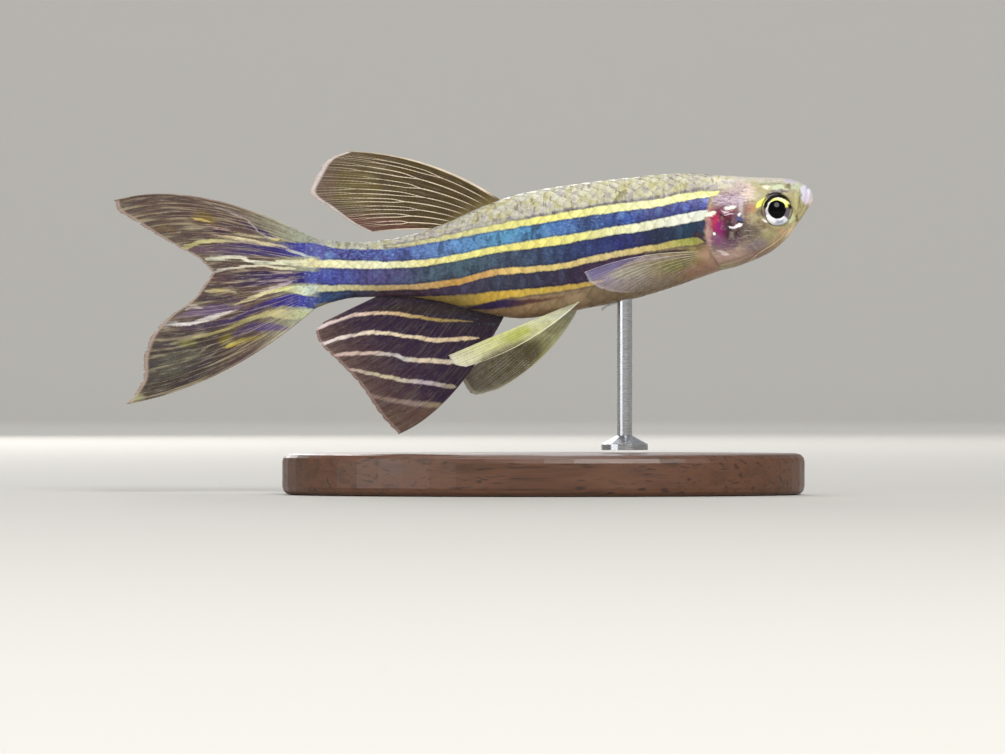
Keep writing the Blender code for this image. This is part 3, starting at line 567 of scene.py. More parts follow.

# Small clean marks: the yellow wedge behind the eye, the streak and the brow, a black arc of painted shadow between
# the eye and the brow, and glints of the gill cover, which are painted highlights of light on its wet surface
GLINTS = (
    Blot(2.5, 0.52, 0.7, 0.12, (112, 98, 104), 0.8, 0, 0.9),
    # Painted shadow: the black arc of shade above the eye, carried on from the eye onto the skin
    Blot(2.8, 0.37, 0.62, 0.1, (30, 24, 22), 0.95, -6, 0.7),
    Blot(3.44, 0.12, 0.42, 0.09, (34, 28, 24), 0.9, -42, 0.7),
    Blot(3.76, -0.3, 0.54, 0.23, (242, 242, 108), 1, -42, 0.4),
    Blot(3.24, -1.71, 0.55, 0.13, (252, 248, 242), 1, 20, 0.5),
    Blot(5.3, -0.55, 0.17, 0.55, (214, 198, 206), 0.6, -6),
    Blot(7.56, -1.13, 0.46, 0.17, (240, 242, 220), 1, -12, 0.4),
    # The white and pale marks from here on are painted highlights, glints of light on the wet gill cover
    Blot(6.07, -0.69, 0.42, 0.15, (252, 250, 240), 1, -8, 0.7),
    Blot(6.42, -0.98, 0.3, 0.06, (232, 214, 226), 0.85, 8, 0.8),
    Blot(6.2, -1.16, 0.36, 0.05, (226, 204, 220), 0.8, -10, 0.8),
    Blot(5.4, -1.15, 0.13, 0.15, (244, 244, 248), 0.9, 30, 0.8),
    Blot(5.36, -1.5, 0.26, 0.15, (58, 86, 140), 0.85, 20),
    Blot(5.36, -1.74, 0.3, 0.08, (18, 14, 24), 0.9, 12, 0.8),
    Blot(5.5, -1.98, 0.34, 0.12, (250, 248, 244), 1, -16, 0.6),
    Blot(5.96, -2.1, 0.3, 0.08, (240, 232, 236), 0.9, 6, 0.8),
    Blot(6.62, -1.28, 0.24, 0.07, (30, 18, 30), 0.85, 20, 0.8),
    Blot(7.24, -2.58, 0.12, 0.1, (255, 250, 250), 1, 0, 0.6),
    Blot(6.47, -4.05, 0.22, 0.08, (240, 220, 212), 0.7, 10),
)
LINED_PARTS = (
    Blot(6.2, -0.25, 1.25, 0.85, (255, 255, 255)),
    Blot(4.9, 0.25, 0.65, 0.95, (255, 255, 255), 0.9),
    Blot(4.75, -2.3, 0.9, 0.9, (255, 255, 255), 0.55),
    Blot(6.3, -3.6, 1.5, 0.6, (255, 255, 255), 0.4),
)


def tail_group():
    return fin_group("tail", TAIL_LOOK)


def markings_group():
    """The fish's markings, shared by its skin and its scales."""
    group = bpy.data.node_groups.new("danio_markings", "ShaderNodeTree")
    group.interface.new_socket("Colour", in_out="OUTPUT", socket_type="NodeSocketColor")
    group.interface.new_socket("Shine", in_out="OUTPUT", socket_type="NodeSocketFloat")
    group.interface.new_socket("Height", in_out="OUTPUT", socket_type="NodeSocketFloat")
    wires = Wiring(group)
    spot, true_behind, true_up = side_view(wires)
    behind, up = strayed(wires, spot, (1.2, 0.22), (6.0, 0.16))
    flank, dark = flank_colour(wires, spot, behind, up)
    head = head_colour(wires, spot)
    tail = wires.add("ShaderNodeGroup", node_tree=ensure_group("tail_colours", tail_group)).outputs[0]
    flank = wires.mix(wires.fade(behind, 35.7, 36.5), flank, tail)
    arch = wires.less(up, GILL_UP)
    bend = wires.fade(arch, -0.1, 0.1, GILL_FALL_CURVE, GILL_RISE_CURVE)
    drop = wires.times(wires.times(arch, arch), bend)
    past = wires.less(wires.plus(true_behind, drop), GILL_BEHIND)
    nape = wires.fade(true_up, 0.0, 0.9, 0.0, 1.1)
    past = wires.plus(past, nape)
    wander = wires.less(wires.noise(spot, 2.0, 3.0), 0.5)
    past = wires.mad(wander, wires.mad(nape, 1.6, 0.7), past)
    trunk = wires.fade(past, -0.12, 0.16)
    colour = wires.mix(trunk, head, flank)

    out = wires.add("NodeGroupOutput")
    wires.feed(out.inputs["Colour"], colour)
    shine = wires.times(dark, wires.fade(true_behind, 36.3, 34.5))
    wires.feed(out.inputs["Shine"], wires.times(shine, trunk))
    wires.feed(out.inputs["Height"], wires.noise(spot, 7.0, 4.0, 0.6))
    return group


def flank_colour(wires, spot, behind, up):
    """Back, blue bands, belly and yellow stripes. Also how dark and blue the place is."""
    share = wires.share(behind, 6.0, BODY_END)
    up = wires.plus(up, Track(wires, behind, FLANK_DROP).value)
    mottle = wires.noise(spot, 1.4, 3.0, 0.6)
    upright = wires.vector("MULTIPLY", spot, (2.6, 1.0, 0.9))
    bars = wires.noise(upright, 1.3, 3.0, 0.6)
    back = along_ramp(wires, share, BACK_COLOURS)
    back = wires.mix(wires.fade(mottle, 0.51, 0.63, 0.0, 0.7), back, linear(190, 180, 112))
    back = wires.mix(wires.fade(mottle, 0.48, 0.36, 0.0, 0.75), back, linear(172, 162, 164))
    back = wires.mix(wires.fade(bars, 0.54, 0.66, 0.0, 0.55), back, linear(132, 118, 82))
    paled = wires.mix(wires.fade(bars, 0.44, 0.32, 0.0, 0.5), back, linear(222, 214, 190))

    # Speckles of the blue bands, longer than they are high. The pale specks and patches are painted glints of light
    flat = wires.vector("MULTIPLY", spot, (1.0, 1.0, 2.0))
    speck = wires.noise(flat, 3.6, 2.5, 0.62)
    shades = wires.noise(wires.vector("MULTIPLY", spot, (1.2, 1.0, 0.45)), 1.25, 2.0, 0.6)
    bands = []
    for colours, glint, gloom in ((BLUE_ONE, 0.5, 0.55), (BLUE_TWO, 0.14, 0.45), (BLUE_THREE, 0.08, 0.35)):
        base = along_ramp(wires, share, colours)
        glint = wires.times(wires.fade(behind, 9.0, 20.0, 0.35, 1.0), glint)
        light = wires.mix(wires.fade(speck, 0.52, 0.68, 0.0, glint), base, linear(124, 176, 220))
        band = wires.mix(wires.fade(speck, 0.48, 0.34, 0.0, gloom), light, linear(28, 34, 66))
        band = wires.mix(wires.fade(shades, 0.46, 0.34, 0.0, glint), band, linear(112, 156, 200))
        bands.append(wires.mix(wires.fade(shades, 0.51, 0.62, 0.0, gloom), band, linear(26, 32, 62)))
    belly = along_ramp(wires, share, BELLY_COLOURS)
    belly = wires.mix(wires.fade(mottle, 0.5, 0.7, 0.0, 0.4), belly, linear(172, 150, 120))

    colour = paled
    middles = [[knot[:2] for knot in YELLOW_TWO.knots]]
    edges = [Track(wires, behind, knots).value for knots in [BAND_EDGES[0], *middles, *BAND_EDGES[1:]]]
    below = [wires.less(edge, up) for edge in edges]
    for gap, band in zip(below, bands + [belly]):
        colour = wires.mix(wires.fade(gap, -0.06, 0.06), colour, band)
    dark = wires.times(wires.fade(below[0], -0.05, 0.1), wires.fade(below[3], 0.1, -0.1))
    colour = lay_blots(wires, colour, behind, up, CHEST_BLOTS)
    lined = lay_stripes(wires, colour, behind, up, (LILAC_LINE,))
    colour = wires.mix(wires.fade(bars, 0.40, 0.54, 0.4, 1.0), colour, lined)
    colour = lay_stripes(wires, colour, behind, up, (DARK_FOUR,))
    colour = lay_stripes(wires, colour, behind, up, (YELLOW_ONE, YELLOW_TWO, YELLOW_THREE, YELLOW_FOUR), 0.4)
    return wires.mix(wires.fade(bars, 0.56, 0.7, 0.0, 0.22), colour, linear(96, 78, 60)), dark


def head_colour(wires, spot):
    behind, up = strayed(wires, spot, (1.5, 0.45), (5.0, 0.24))
    mottle = wires.noise(spot, 1.9, 3.0, 0.65)
    fine = wires.noise(spot, 6.0, 3.0, 0.6)
    flat = wires.vector("MULTIPLY", spot, (0.8, 1.0, 3.0))
    lines = wires.noise(flat, 3.0, 3.0, 0.6)
    colour = lay_blots(wires, linear(*HEAD_GROUND), behind, up, HEAD_BLOTS + COVER_BLOTS)

    # Fine dark lines, and pale lines that are painted glints of light, between the eye and the gill opening
    near = lay_blots(wires, (0, 0, 0, 1), behind, up, LINED_PARTS)
    dark = wires.times(near, wires.fade(lines, 0.52, 0.64, 0.0, 0.65))
    colour = wires.mix(dark, colour, linear(72, 44, 40))
    pale = wires.times(near, wires.fade(lines, 0.45, 0.34, 0.0, 0.55))
    colour = wires.mix(pale, colour, linear(240, 226, 220))
    colour = wires.mix(wires.fade(mottle, 0.5, 0.75, 0.0, 0.3), colour, linear(226, 218, 196))
    colour = wires.mix(wires.fade(fine, 0.54, 0.70, 0.0, 0.35), colour, linear(96, 78, 52))
    return lay_blots(wires, colour, *strayed(wires, spot, (2.2, 0.3), (8.0, 0.2)), GLINTS)


def fish_material(name, coat):
    """Wet, pearly skin. A coat of scales adds their dark rims and growth rings."""
    material, wires, shader = new_material(name)
    marks = wires.add("ShaderNodeGroup", node_tree=bpy.data.node_groups["danio_markings"]).outputs
    spot, behind, up = side_view(wires)
    colour = marks["Colour"]
    height = marks["Height"]
    if coat:
        rim = wires.attribute("rim")
        colour = wires.mix(wires.fade(rim, 0.74, 1.0, 0.0, 0.24), colour, linear(120, 108, 88), "MULTIPLY")
        tone = wires.attribute("tone")
        colour = wires.mix(wires.times(tone, 0.22), colour, linear(150, 144, 140), "MULTIPLY")
        rings = wires.math("SINE", wires.times(rim, 75.0))
        height = wires.mad(rings, 0.1, height)
    values = {
        "Base Color": colour,
        "Metallic": wires.times(marks["Shine"], 0.2),
    }
    wires.dress(shader, values)
    rough = wires.noise(spot, 3.0, 2.0)
    values = {
        "Roughness": wires.fade(rough, 0.3, 0.7, 0.30, 0.46),
        "Normal": wires.bump(height, 0.35, 0.00005),
        "Specular IOR Level": 0.3,
        "Coat Weight": 0.12,
        "Coat Roughness": 0.15,
        "Subsurface Weight": 0.08,
        "Subsurface Radius": (0.5, 0.3, 0.2),
        "Subsurface Scale": 0.0006,
    }
    wires.dress(shader, values)
    return material


def link(name, mesh):
    item = bpy.data.objects.new(name, mesh)
    bpy.context.scene.collection.objects.link(item)
    return item


def mesh_object(name, points, faces, edges=()):
    mesh = bpy.data.meshes.new(name)
    mesh.from_pydata([tuple(point) for point in points], list(edges), faces)
    mesh.validate()
    if faces:
        mesh.shade_smooth()
    return link(name, mesh)


def put_attribute(mesh, name, kind, domain, values):
    layer = mesh.attributes.new(name, kind, domain)
    field = "value" if kind == "FLOAT" else "vector"
    layer.data.foreach_set(field, np.asarray(values, np.float32).ravel())


def grid_faces(rows, columns, wrap=False, offset=0):
    """Quads of a grid whose columns may close into rings."""
    faces = []
    across = columns if wrap else columns - 1
    for i in range(rows - 1):
        for k in range(across):
            a = offset + i * columns + k
            b = offset + i * columns + (k + 1) % columns
            faces.append((a, b, b + columns, a + columns))
    return faces


def finish_piece(item, slot, *nodes):
    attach(item, "root")
    if nodes:
        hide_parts(*nodes)
    return item


def run_geometry(item, tree, values):
    """Runs a geometry node tree on an object and keeps the result as its plain mesh."""
    modifier = item.modifiers.new(tree.name, "NODES")
    modifier.node_group = tree
    for socket in tree.interface.items_tree:
        if socket.in_out == "INPUT" and socket.name in values:
            modifier[socket.identifier] = values[socket.name]
    graph = bpy.context.evaluated_depsgraph_get()
    mesh = bpy.data.meshes.new_from_object(item.evaluated_get(graph))
    mesh.name = item.name
    item.modifiers.clear()
    item.data = mesh
    return item


def geometry_tree(name, inputs):
    tree = bpy.data.node_groups.new(name, "GeometryNodeTree")
    tree.interface.new_socket("Geometry", in_out="INPUT", socket_type="NodeSocketGeometry")
    for title, kind in inputs.items():
        tree.interface.new_socket(title, in_out="INPUT", socket_type="NodeSocket" + kind)
    tree.interface.new_socket("Geometry", in_out="OUTPUT", socket_type="NodeSocketGeometry")
    wires = Wiring(tree)
    given = wires.add("NodeGroupInput").outputs
    return tree, wires, given


def close_tree(wires, geometry, material):
    """Ends a tree with realized instances and one material."""
    real = wires.add("GeometryNodeRealizeInstances", {"Geometry": geometry}).outputs[0]
    inputs = {"Geometry": real, "Material": material}
    painted = wires.add("GeometryNodeSetMaterial", inputs).outputs[0]
    wires.add("NodeGroupOutput", {"Geometry": painted})


def line_field(path, behind, up):
    """How far each side-view point is from a line, on which side of it, and how far along."""
    path = curve_through(path)(np.linspace(0, 1, 24))
    away = np.full(behind.shape, 1e9)
    side = np.zeros(behind.shape)
    share = np.zeros(behind.shape)
    for i, ((x0, y0), (x1, y1)) in enumerate(zip(path[:-1], path[1:])):
        dx, dy = x1 - x0, y1 - y0
        t = np.clip(((behind - x0) * dx + (up - y0) * dy) / (dx * dx + dy * dy), 0, 1)
        gap = np.hypot(behind - x0 - t * dx, up - y0 - t * dy)
        nearer = gap < away
        away = np.where(nearer, gap, away)
        side = np.where(nearer, np.sign(dx * (up - y0) - dy * (behind - x0)), side)
        share = np.where(nearer, (i + t) / (len(path) - 1), share)
    return away, side, share


MOUTH = ((0.40, 0.82), (0.46, 0.30), (0.62, -0.45), (1.09, -1.31))
LIP_FOLD = ((0.90, 0.95), (0.97, 0.2), (1.02, -0.5), (1.16, -1.15))
JAW_FOLD = ((1.12, -1.30), (1.55, -2.05), (2.20, -2.95), (2.9, -3.55))
EYE_SOCKET = 1.10
PREOPERCLE = ((4.75, -0.2), (4.92, -1.3), (4.85, -2.5), (4.2, -3.5))
CHEEK_FOLD = ((1.9, -1.9), (2.6, -2.45), (3.5, -2.35), (4.2, -1.6), (4.35, -0.7))
SUBOPERCLE = ((5.0, -3.1), (5.9, -3.35), (6.9, -3.25), (7.5, -2.9))
THROAT_FOLD = ((4.4, -4.05), (5.6, -4.45), (6.8, -4.75))
NOSTRILS = ((1.36, 1.00, 0.13), (1.78, 0.93, 0.15))


def relief(behind, up):
    """How far the head's forms stand out of the smooth body, in millimetres."""
    out = np.zeros(behind.shape)

    # Lips either side of the mouth, which closes to a deep line
    away, side, share = line_field(MOUTH, behind, up)
    signed = away * side
    fade = 1 - 0.6 * share**3
    out += 0.05 * hump((np.abs(signed) - 0.17) / 0.13) * fade
    out -= 0.20 * hump(away / 0.055)
    away, side, share = line_field(LIP_FOLD, behind, up)
    out -= 0.07 * hump(away / 0.06)
    away, side, share = line_field(JAW_FOLD, behind, up)
    out -= 0.06 * hump(away / 0.07) * smooth((1 - share) * 3)

    # Rim and hollow of the eye socket
    reach = np.hypot(behind - EYE_BEHIND, up - EYE_UP)
    out += 0.03 * hump((reach - 1.32) / 0.16)

    for spot_behind, spot_up, radius in NOSTRILS:
        reach = np.hypot(behind - spot_behind, up - spot_up)
        out += 0.05 * hump((reach - radius * 1.35) / 0.06)
        out -= 0.14 * smooth((radius * 1.1 - reach) / (radius * 0.5))

    # Bones of the cheek
    away, side, share = line_field(CHEEK_FOLD, behind, up)
    out -= 0.035 * hump(away / 0.08)
    away, side, share = line_field(PREOPERCLE, behind, up)
    out -= 0.07 * hump(away / 0.07)
    out += 0.05 * hump((away * side - 0.18) / 0.14)
    away, side, share = line_field(SUBOPERCLE, behind, up)
    out -= 0.04 * hump(away / 0.06)
    away, side, share = line_field(THROAT_FOLD, behind, up)
    out -= 0.05 * hump(away / 0.06)

    # The gill cover swells and drops to the opening behind it
    edge = gill_edge(up)
    inside = edge - behind
    height = smooth((up + 5.4) / 0.8) * smooth((0.45 - up) / 0.5)
    swell = 0.10 * smooth((behind - 4.6) / 1.6) * smooth(inside / 0.16 + 0.5)
    out += swell * height
    out -= 0.05 * hump((inside + 0.12) / 0.12) * height

    # Bases of the paired fins
    for root_behind, root_up in ((8.15, -4.30), (17.1, -7.55)):
        out += 0.16 * hump(np.hypot((behind - root_behind) / 0.55, (up - root_up) / 0.5))
    return out


def eye_tilt(behind, up):
    """How much further out the eye stands at a place, because it lies along the tapering head."""
    return 0.15 * (behind - EYE_BEHIND) - 0.08 * (up - EYE_UP)


def sink_eye(spots, depth):
    """Draws the skin in behind the eyeball."""
    behind, left, up = spots[..., 0], spots[..., 1], spots[..., 2]
    reach = np.hypot(behind - EYE_BEHIND, up - EYE_UP)
    pull = smooth((EYE_SOCKET + 0.09 - reach) / 0.20)
    floor = np.minimum(np.abs(left), EYE_SIDE - depth + eye_tilt(behind, up))
    sunk = np.sign(left) * (np.abs(left) + (floor - np.abs(left)) * pull)
    spots[..., 1] = np.where(np.abs(left) > 0.5, sunk, left)
    return spots


def body_rings(head_step, body_step):
    snout = SNOUT_END * (np.arange(1, SNOUT_RINGS + 1) / SNOUT_RINGS) ** 2
    head = np.arange(SNOUT_END + head_step, HEAD_END, head_step)
    body = np.arange(HEAD_END, BODY_END, body_step)
    return np.concatenate([snout, head, body, [BODY_END]])


def body_surface(rings, around, inset, with_relief):
    """Points and faces of the body, drawn in by inset, in the fish's frame."""
    behind = rings[:, None]
    angle = (np.arange(around) / around * math.tau)[None, :]
    spots = section_spots(behind, angle)
    along = np.gradient(spots, rings, axis=0)
    over = np.roll(spots, -1, axis=1) - np.roll(spots, 1, axis=1)
    normal = np.cross(along, over)
    normal /= np.maximum(np.linalg.norm(normal, axis=-1, keepdims=True), 1e-12)
    outward = np.sum(normal[:, around // 4] * np.array([0.0, 1.0, 0.0]), axis=-1)
    normal *= np.where(outward < 0, -1.0, 1.0)[:, None, None]
    lift = -inset * smooth(behind / 0.4) + np.zeros(angle.shape)
    if with_relief:
        near = behind < 20
        lift = lift + np.where(near, relief(spots[..., 0], spots[..., 2]), 0.0)
    spots = spots + normal * lift[..., None]
    if with_relief:
        spots = sink_eye(spots, 0.30)
    rows = len(rings)
    tip = np.array([[rings[0] * 0.5, 0.0, 0.0]])
    end = spots[-1].mean(axis=0, keepdims=True)
    points = np.concatenate([tip, spots.reshape(-1, 3), end])
    faces = [tuple(reversed(face)) for face in grid_faces(rows, around, wrap=True, offset=1)]
    last = 1 + (rows - 1) * around
    for k in range(around):
        after = (k + 1) % around
        faces.append((0, 1 + k, 1 + after)[::-1])
        faces.append((last + k, last + after, len(points) - 1)[::-1])
    return place(points), faces


def face_outwards(item):
    """Turns every face if the mesh is inside out."""
    mesh = item.data
    mesh.calc_loop_triangles()
    count = len(mesh.loop_triangles)
    corners = np.empty(count * 3, np.int32)
    mesh.loop_triangles.foreach_get("vertices", corners)
    points = np.empty(len(mesh.vertices) * 3, np.float32)
    mesh.vertices.foreach_get("co", points)
    a, b, c = (points.reshape(-1, 3)[corners.reshape(-1, 3)[:, i]] for i in range(3))
    if np.sum(a * np.cross(b, c)) < 0:
        mesh.flip_normals()
    return item


SCALE_LENGTH = 1.85
SCALE_WIDTH = 0.66


def scale_template():
    """One scale lying on its skin: x towards the tail, y across, in shares of the pitch. Its free
    rear edge is round, and its front is hidden under the scales before it."""
    along = (0.0, 0.3, 0.58, 0.82, 1.0)
    across = (-1.0, -0.7, -0.25, 0.25, 0.7, 1.0)
    points, rim, lift = [], [], []
    for t in along:
        for s in across:
            rear = SCALE_LENGTH * (1 - 0.40 * s * s)
            spread = SCALE_WIDTH * (0.72 + 0.28 * math.sin(min(t * 1.6, 1.0) * math.pi / 2))
            points.append((t * rear, s * spread, 0.0))
            rim.append(max(t, 0.45 + 0.5 * s * s * t))
            lift.append(-0.035 + 0.080 * t - 0.008 * s * s)
    faces = grid_faces(len(along), len(across))
    rows, columns = len(along), len(across)
    edge = [k for k in range(columns)]
    edge += [i * columns + columns - 1 for i in range(1, rows)]
    edge += [(rows - 1) * columns + k for k in range(columns - 2, -1, -1)]
    edge += [i * columns for i in range(rows - 2, 0, -1)]
    start = len(points)
    for i in edge:
        points.append(points[i])
        rim.append(rim[i])
        lift.append(lift[i] - 0.016)
    for i, (here, after) in enumerate(zip(edge, edge[1:] + edge[:1])):
        low, low_after = start + i, start + (i + 1) % len(edge)
        faces.append((after, here, low, low_after))
    faces.append(tuple(range(start, start + len(edge))))
    item = mesh_object("scale_template", points, faces)
    put_attribute(item.data, "rim", "FLOAT", "POINT", rim)
    put_attribute(item.data, "lift", "FLOAT", "POINT", np.array(lift) * MM)
    patch = [((x / SCALE_LENGTH - 0.5) * 0.003, y / SCALE_WIDTH * 0.0015, 0.0) for x, y, _ in points]
    put_attribute(item.data, "patch", "FLOAT_VECTOR", "POINT", patch)
    return item


def scale_roots(pitch, rows):
    """Where scales are rooted, with the way they lie, their size and their place on an unwrap."""
    random = np.random.default_rng(SEED)
    spots, outs, lies, sizes, unwraps, tones = [], [], [], [], [], []
    behind = 5.6
    column = 0
    while behind < 36.0:
        girth = (back_at(behind) - belly_at(behind)) / 10.0
        step = pitch * float(girth) ** 0.45
        for row in range(rows):
            share = (row + 0.5 * (column % 2)) / rows
            angle = share * math.tau
            spot = section_spots(np.array(behind), np.array(angle))
            nape = 6.3 + 0.25 * abs(math.sin(angle * 3))
            start = nape if spot[2] > 0.35 else float(gill_edge(spot[2])) - 0.75
            if spot[2] < -4.6:
                start = 8.0
            if behind < start:
                continue
            ahead = section_spots(np.array(behind + 0.2), np.array(angle))
            over = section_spots(np.array(behind), np.array(angle + 0.05))
            here = place(spot)
            lie = place(ahead) - here
            out = np.cross(lie, place(over) - here)
            middle = place(np.array([behind, 0.0, float(waist_at(behind))]))
            if np.dot(out, here - middle) < 0:
                out = -out
            jog = random.normal(0.0, 0.025, 2)
            after = place(section_spots(np.array(behind), np.array(angle + math.tau / rows)))
            width = float(np.linalg.norm(after - here)) / MM
            spots.append(here)
            outs.append(out / np.linalg.norm(out))
            lies.append(lie / np.linalg.norm(lie) + np.array([0, 0, jog[0] * 2]))
            sizes.append((step * (1 + jog[1]) * MM, width * (1 + jog[0]) * MM, MM))
            unwraps.append((behind / FISH_LENGTH, share * 0.9 + 0.05, 0.0))
            tones.append(random.random())
        behind += step / 2
        column += 1
    item = mesh_object("scales", spots, [])
    for name, values in (("out", outs), ("lie", lies), ("size", sizes), ("unwrap", unwraps)):
        put_attribute(item.data, name, "FLOAT_VECTOR", "POINT", values)
    put_attribute(item.data, "tone", "FLOAT", "POINT", tones)
    return item


def scale_tree():
    """Sets a scale on each root and lays every point of it on the skin."""
    inputs = {"Scale": "Object", "Skin": "Object", "Lift": "Float", "Material": "Material"}
    tree, wires, given = geometry_tree("scale_coat", inputs)

    def named(name, kind="FLOAT_VECTOR"):
        node = wires.add("GeometryNodeInputNamedAttribute", {"Name": name}, data_type=kind)
        return node.outputs[0]

    scale = wires.add("GeometryNodeObjectInfo", {"Object": given["Scale"]}).outputs["Geometry"]
    skin = wires.add("GeometryNodeObjectInfo", {"Object": given["Skin"]}).outputs["Geometry"]
    turn = wires.add(
        "FunctionNodeAxesToRotation",
        {"Primary Axis": named("out"), "Secondary Axis": named("lie")},
        primary_axis="Z",
        secondary_axis="X",
    ).outputs[0]
    points = wires.add("GeometryNodeMeshToPoints", {"Mesh": given["Geometry"]}).outputs[0]
    inputs = {"Points": points, "Instance": scale, "Rotation": turn, "Scale": named("size")}
    coat = wires.add("GeometryNodeInstanceOnPoints", inputs).outputs[0]
    coat = wires.add("GeometryNodeRealizeInstances", {"Geometry": coat}).outputs[0]

    found = []
    for value in ("GeometryNodeInputPosition", "GeometryNodeInputNormal"):
        source = wires.add(value).outputs[0]
        inputs = {"Mesh": skin, "Value": source}
        node = wires.add("GeometryNodeSampleNearestSurface", inputs, data_type="FLOAT_VECTOR")
        found.append(node.outputs[0])
    height = wires.times(named("lift", "FLOAT"), given["Lift"])
    scaled = wires.add("ShaderNodeVectorMath", {0: found[1], "Scale": height}, operation="SCALE")
    spot = wires.vector("ADD", found[0], scaled.outputs[0])
    coat = wires.add("GeometryNodeSetPosition", {"Geometry": coat, "Position": spot}).outputs[0]
    flat = wires.vector("ADD", named("unwrap"), named("patch"))
    inputs = {"Geometry": coat, "Name": "OFBake", "Value": flat}
    node = wires.add("GeometryNodeStoreNamedAttribute", inputs, data_type="FLOAT2", domain="CORNER")
    close_tree(wires, node.outputs[0], given["Material"])
    return tree


def tube_tree():
    """Turns lines with a radius at each point into round tubes."""
    inputs = {"Thickness": "Float", "Sides": "Int", "Material": "Material"}
    tree, wires, given = geometry_tree("round_rays", inputs)
    line = wires.add("GeometryNodeMeshToCurve", {"Mesh": given["Geometry"]}).outputs[0]
    ring = wires.add("GeometryNodeCurvePrimitiveCircle", {"Resolution": given["Sides"], "Radius": MM}).outputs[0]
    node = wires.add("GeometryNodeInputNamedAttribute", {"Name": "radius"}, data_type="FLOAT")
    radius = wires.times(node.outputs[0], given["Thickness"])
    inputs = {"Curve": line, "Profile Curve": ring, "Scale": radius, "Fill Caps": True}
    tubes = wires.add("GeometryNodeCurveToMesh", inputs).outputs[0]
    close_tree(wires, tubes, given["Material"])
    return tree


def tubes_from(name, lines, material, thickness, sides):
    """Tubes along lines, each of scene points with their radii in millimetres and their places
    across and along the fin."""
    points, edges, radii, acrosses, alongs = [], [], [], [], []
    for spots, radius, across, along in lines:
        start = len(points)
        points.extend(spots)
        edges.extend((start + i, start + i + 1) for i in range(len(spots) - 1))
        radii.extend(radius)
        acrosses.extend(across)
        alongs.extend(along)
    item = mesh_object(name, points, [], edges)
    put_attribute(item.data, "radius", "FLOAT", "POINT", radii)
    put_attribute(item.data, "across", "FLOAT", "POINT", acrosses)
    put_attribute(item.data, "along", "FLOAT", "POINT", alongs)
    tree = bpy.data.node_groups.get("round_rays") or tube_tree()
    run_geometry(item, tree, {"Thickness": thickness, "Sides": sides, "Material": material})
    item.data.shade_smooth()
    return face_outwards(item)


class FinSurface:
    """The middle surface of a fin. Each ray leaves the root line, heads for the bow line and ends
    on the tip line; across counts from the front ray, along from the root."""

    def __init__(self, root, bow, tip):
        self.lines = [curve_through(knots) for knots in (root, bow, tip)]

    def spots(self, across, along):
        start, turn, end = (line(across) for line in self.lines)
        along = np.asarray(along, float)[..., None]
        return start * (1 - along) ** 2 + turn * 2 * along * (1 - along) + end * along**2


class TwinSurface:
    """Two lobes that share the ray between them, counted from one to the other."""

    def __init__(self, upper, lower):
        self.upper, self.lower = upper, lower

    def spots(self, across, along):
        across = np.asarray(across, float)
        high = self.upper.spots(np.clip(across * 2, 0, 1), along)
        low = self.lower.spots(np.clip(across * 2 - 1, 0, 1), along)
        return np.where((across < 0.5)[..., None], high, low)


def surface_normals(surface, across, along):
    step = 0.004
    over = surface.spots(np.minimum(across + step, 1), along) - surface.spots(np.maximum(across - step, 0), along)
    out = surface.spots(across, np.minimum(along + step, 1)) - surface.spots(across, np.maximum(along - step, 0))
    normal = np.cross(over, out)
    return normal / np.maximum(np.linalg.norm(normal, axis=-1, keepdims=True), 1e-12)


def fin_edge(across, rays, scallop, fray):
    """How far along its rays the membrane reaches."""
    between = np.abs(np.sin(np.pi * across * (rays - 1)))
    tear = np.sin(across * rays * 7.3 + 1.1) * np.sin(across * rays * 2.9 + 0.4)
    return 1 - scallop * between - fray * np.maximum(tear, 0.0)


def membrane(name, surface, rays, thick_root, thick_tip, scallop, fray):
    """A thin closed sheet, slack between the rays, with a map of across and along."""
    columns = (rays - 1) * 8 + 1
    rows = 46
    across = np.broadcast_to(np.linspace(0, 1, columns)[None, :], (rows, columns))
    share = np.broadcast_to(np.linspace(0, 1, rows)[:, None], (rows, columns))
    along = share * fin_edge(across, rays, scallop, fray)
    spots = surface.spots(across, along)
    normals = surface_normals(surface, across, along)
    slack = 0.008 * np.sin(np.pi * across * (rays - 1)) ** 2 * share
    half = (thick_root + (thick_tip - thick_root) * share**0.7) / 2
    near = spots + normals * (slack + half)[..., None]
    far = spots + normals * (slack - half)[..., None]
    points = place(np.concatenate([near.reshape(-1, 3), far.reshape(-1, 3)]))
    count = rows * columns
    faces = grid_faces(rows, columns)
    faces += [tuple(count + i for i in reversed(face)) for face in faces]
    edge = [k for k in range(columns)]
    edge += [i * columns + columns - 1 for i in range(1, rows)]
    edge += [(rows - 1) * columns + k for k in range(columns - 2, -1, -1)]
    edge += [i * columns for i in range(rows - 2, 0, -1)]
    for here, after in zip(edge, edge[1:] + edge[:1]):
        faces.append((after, here, count + here, count + after))
    item = mesh_object(name, points, faces)
    put_attribute(item.data, "across", "FLOAT", "POINT", np.tile(across.ravel(), 2))
    put_attribute(item.data, "along", "FLOAT", "POINT", np.tile(along.ravel(), 2))
    return face_outwards(item)


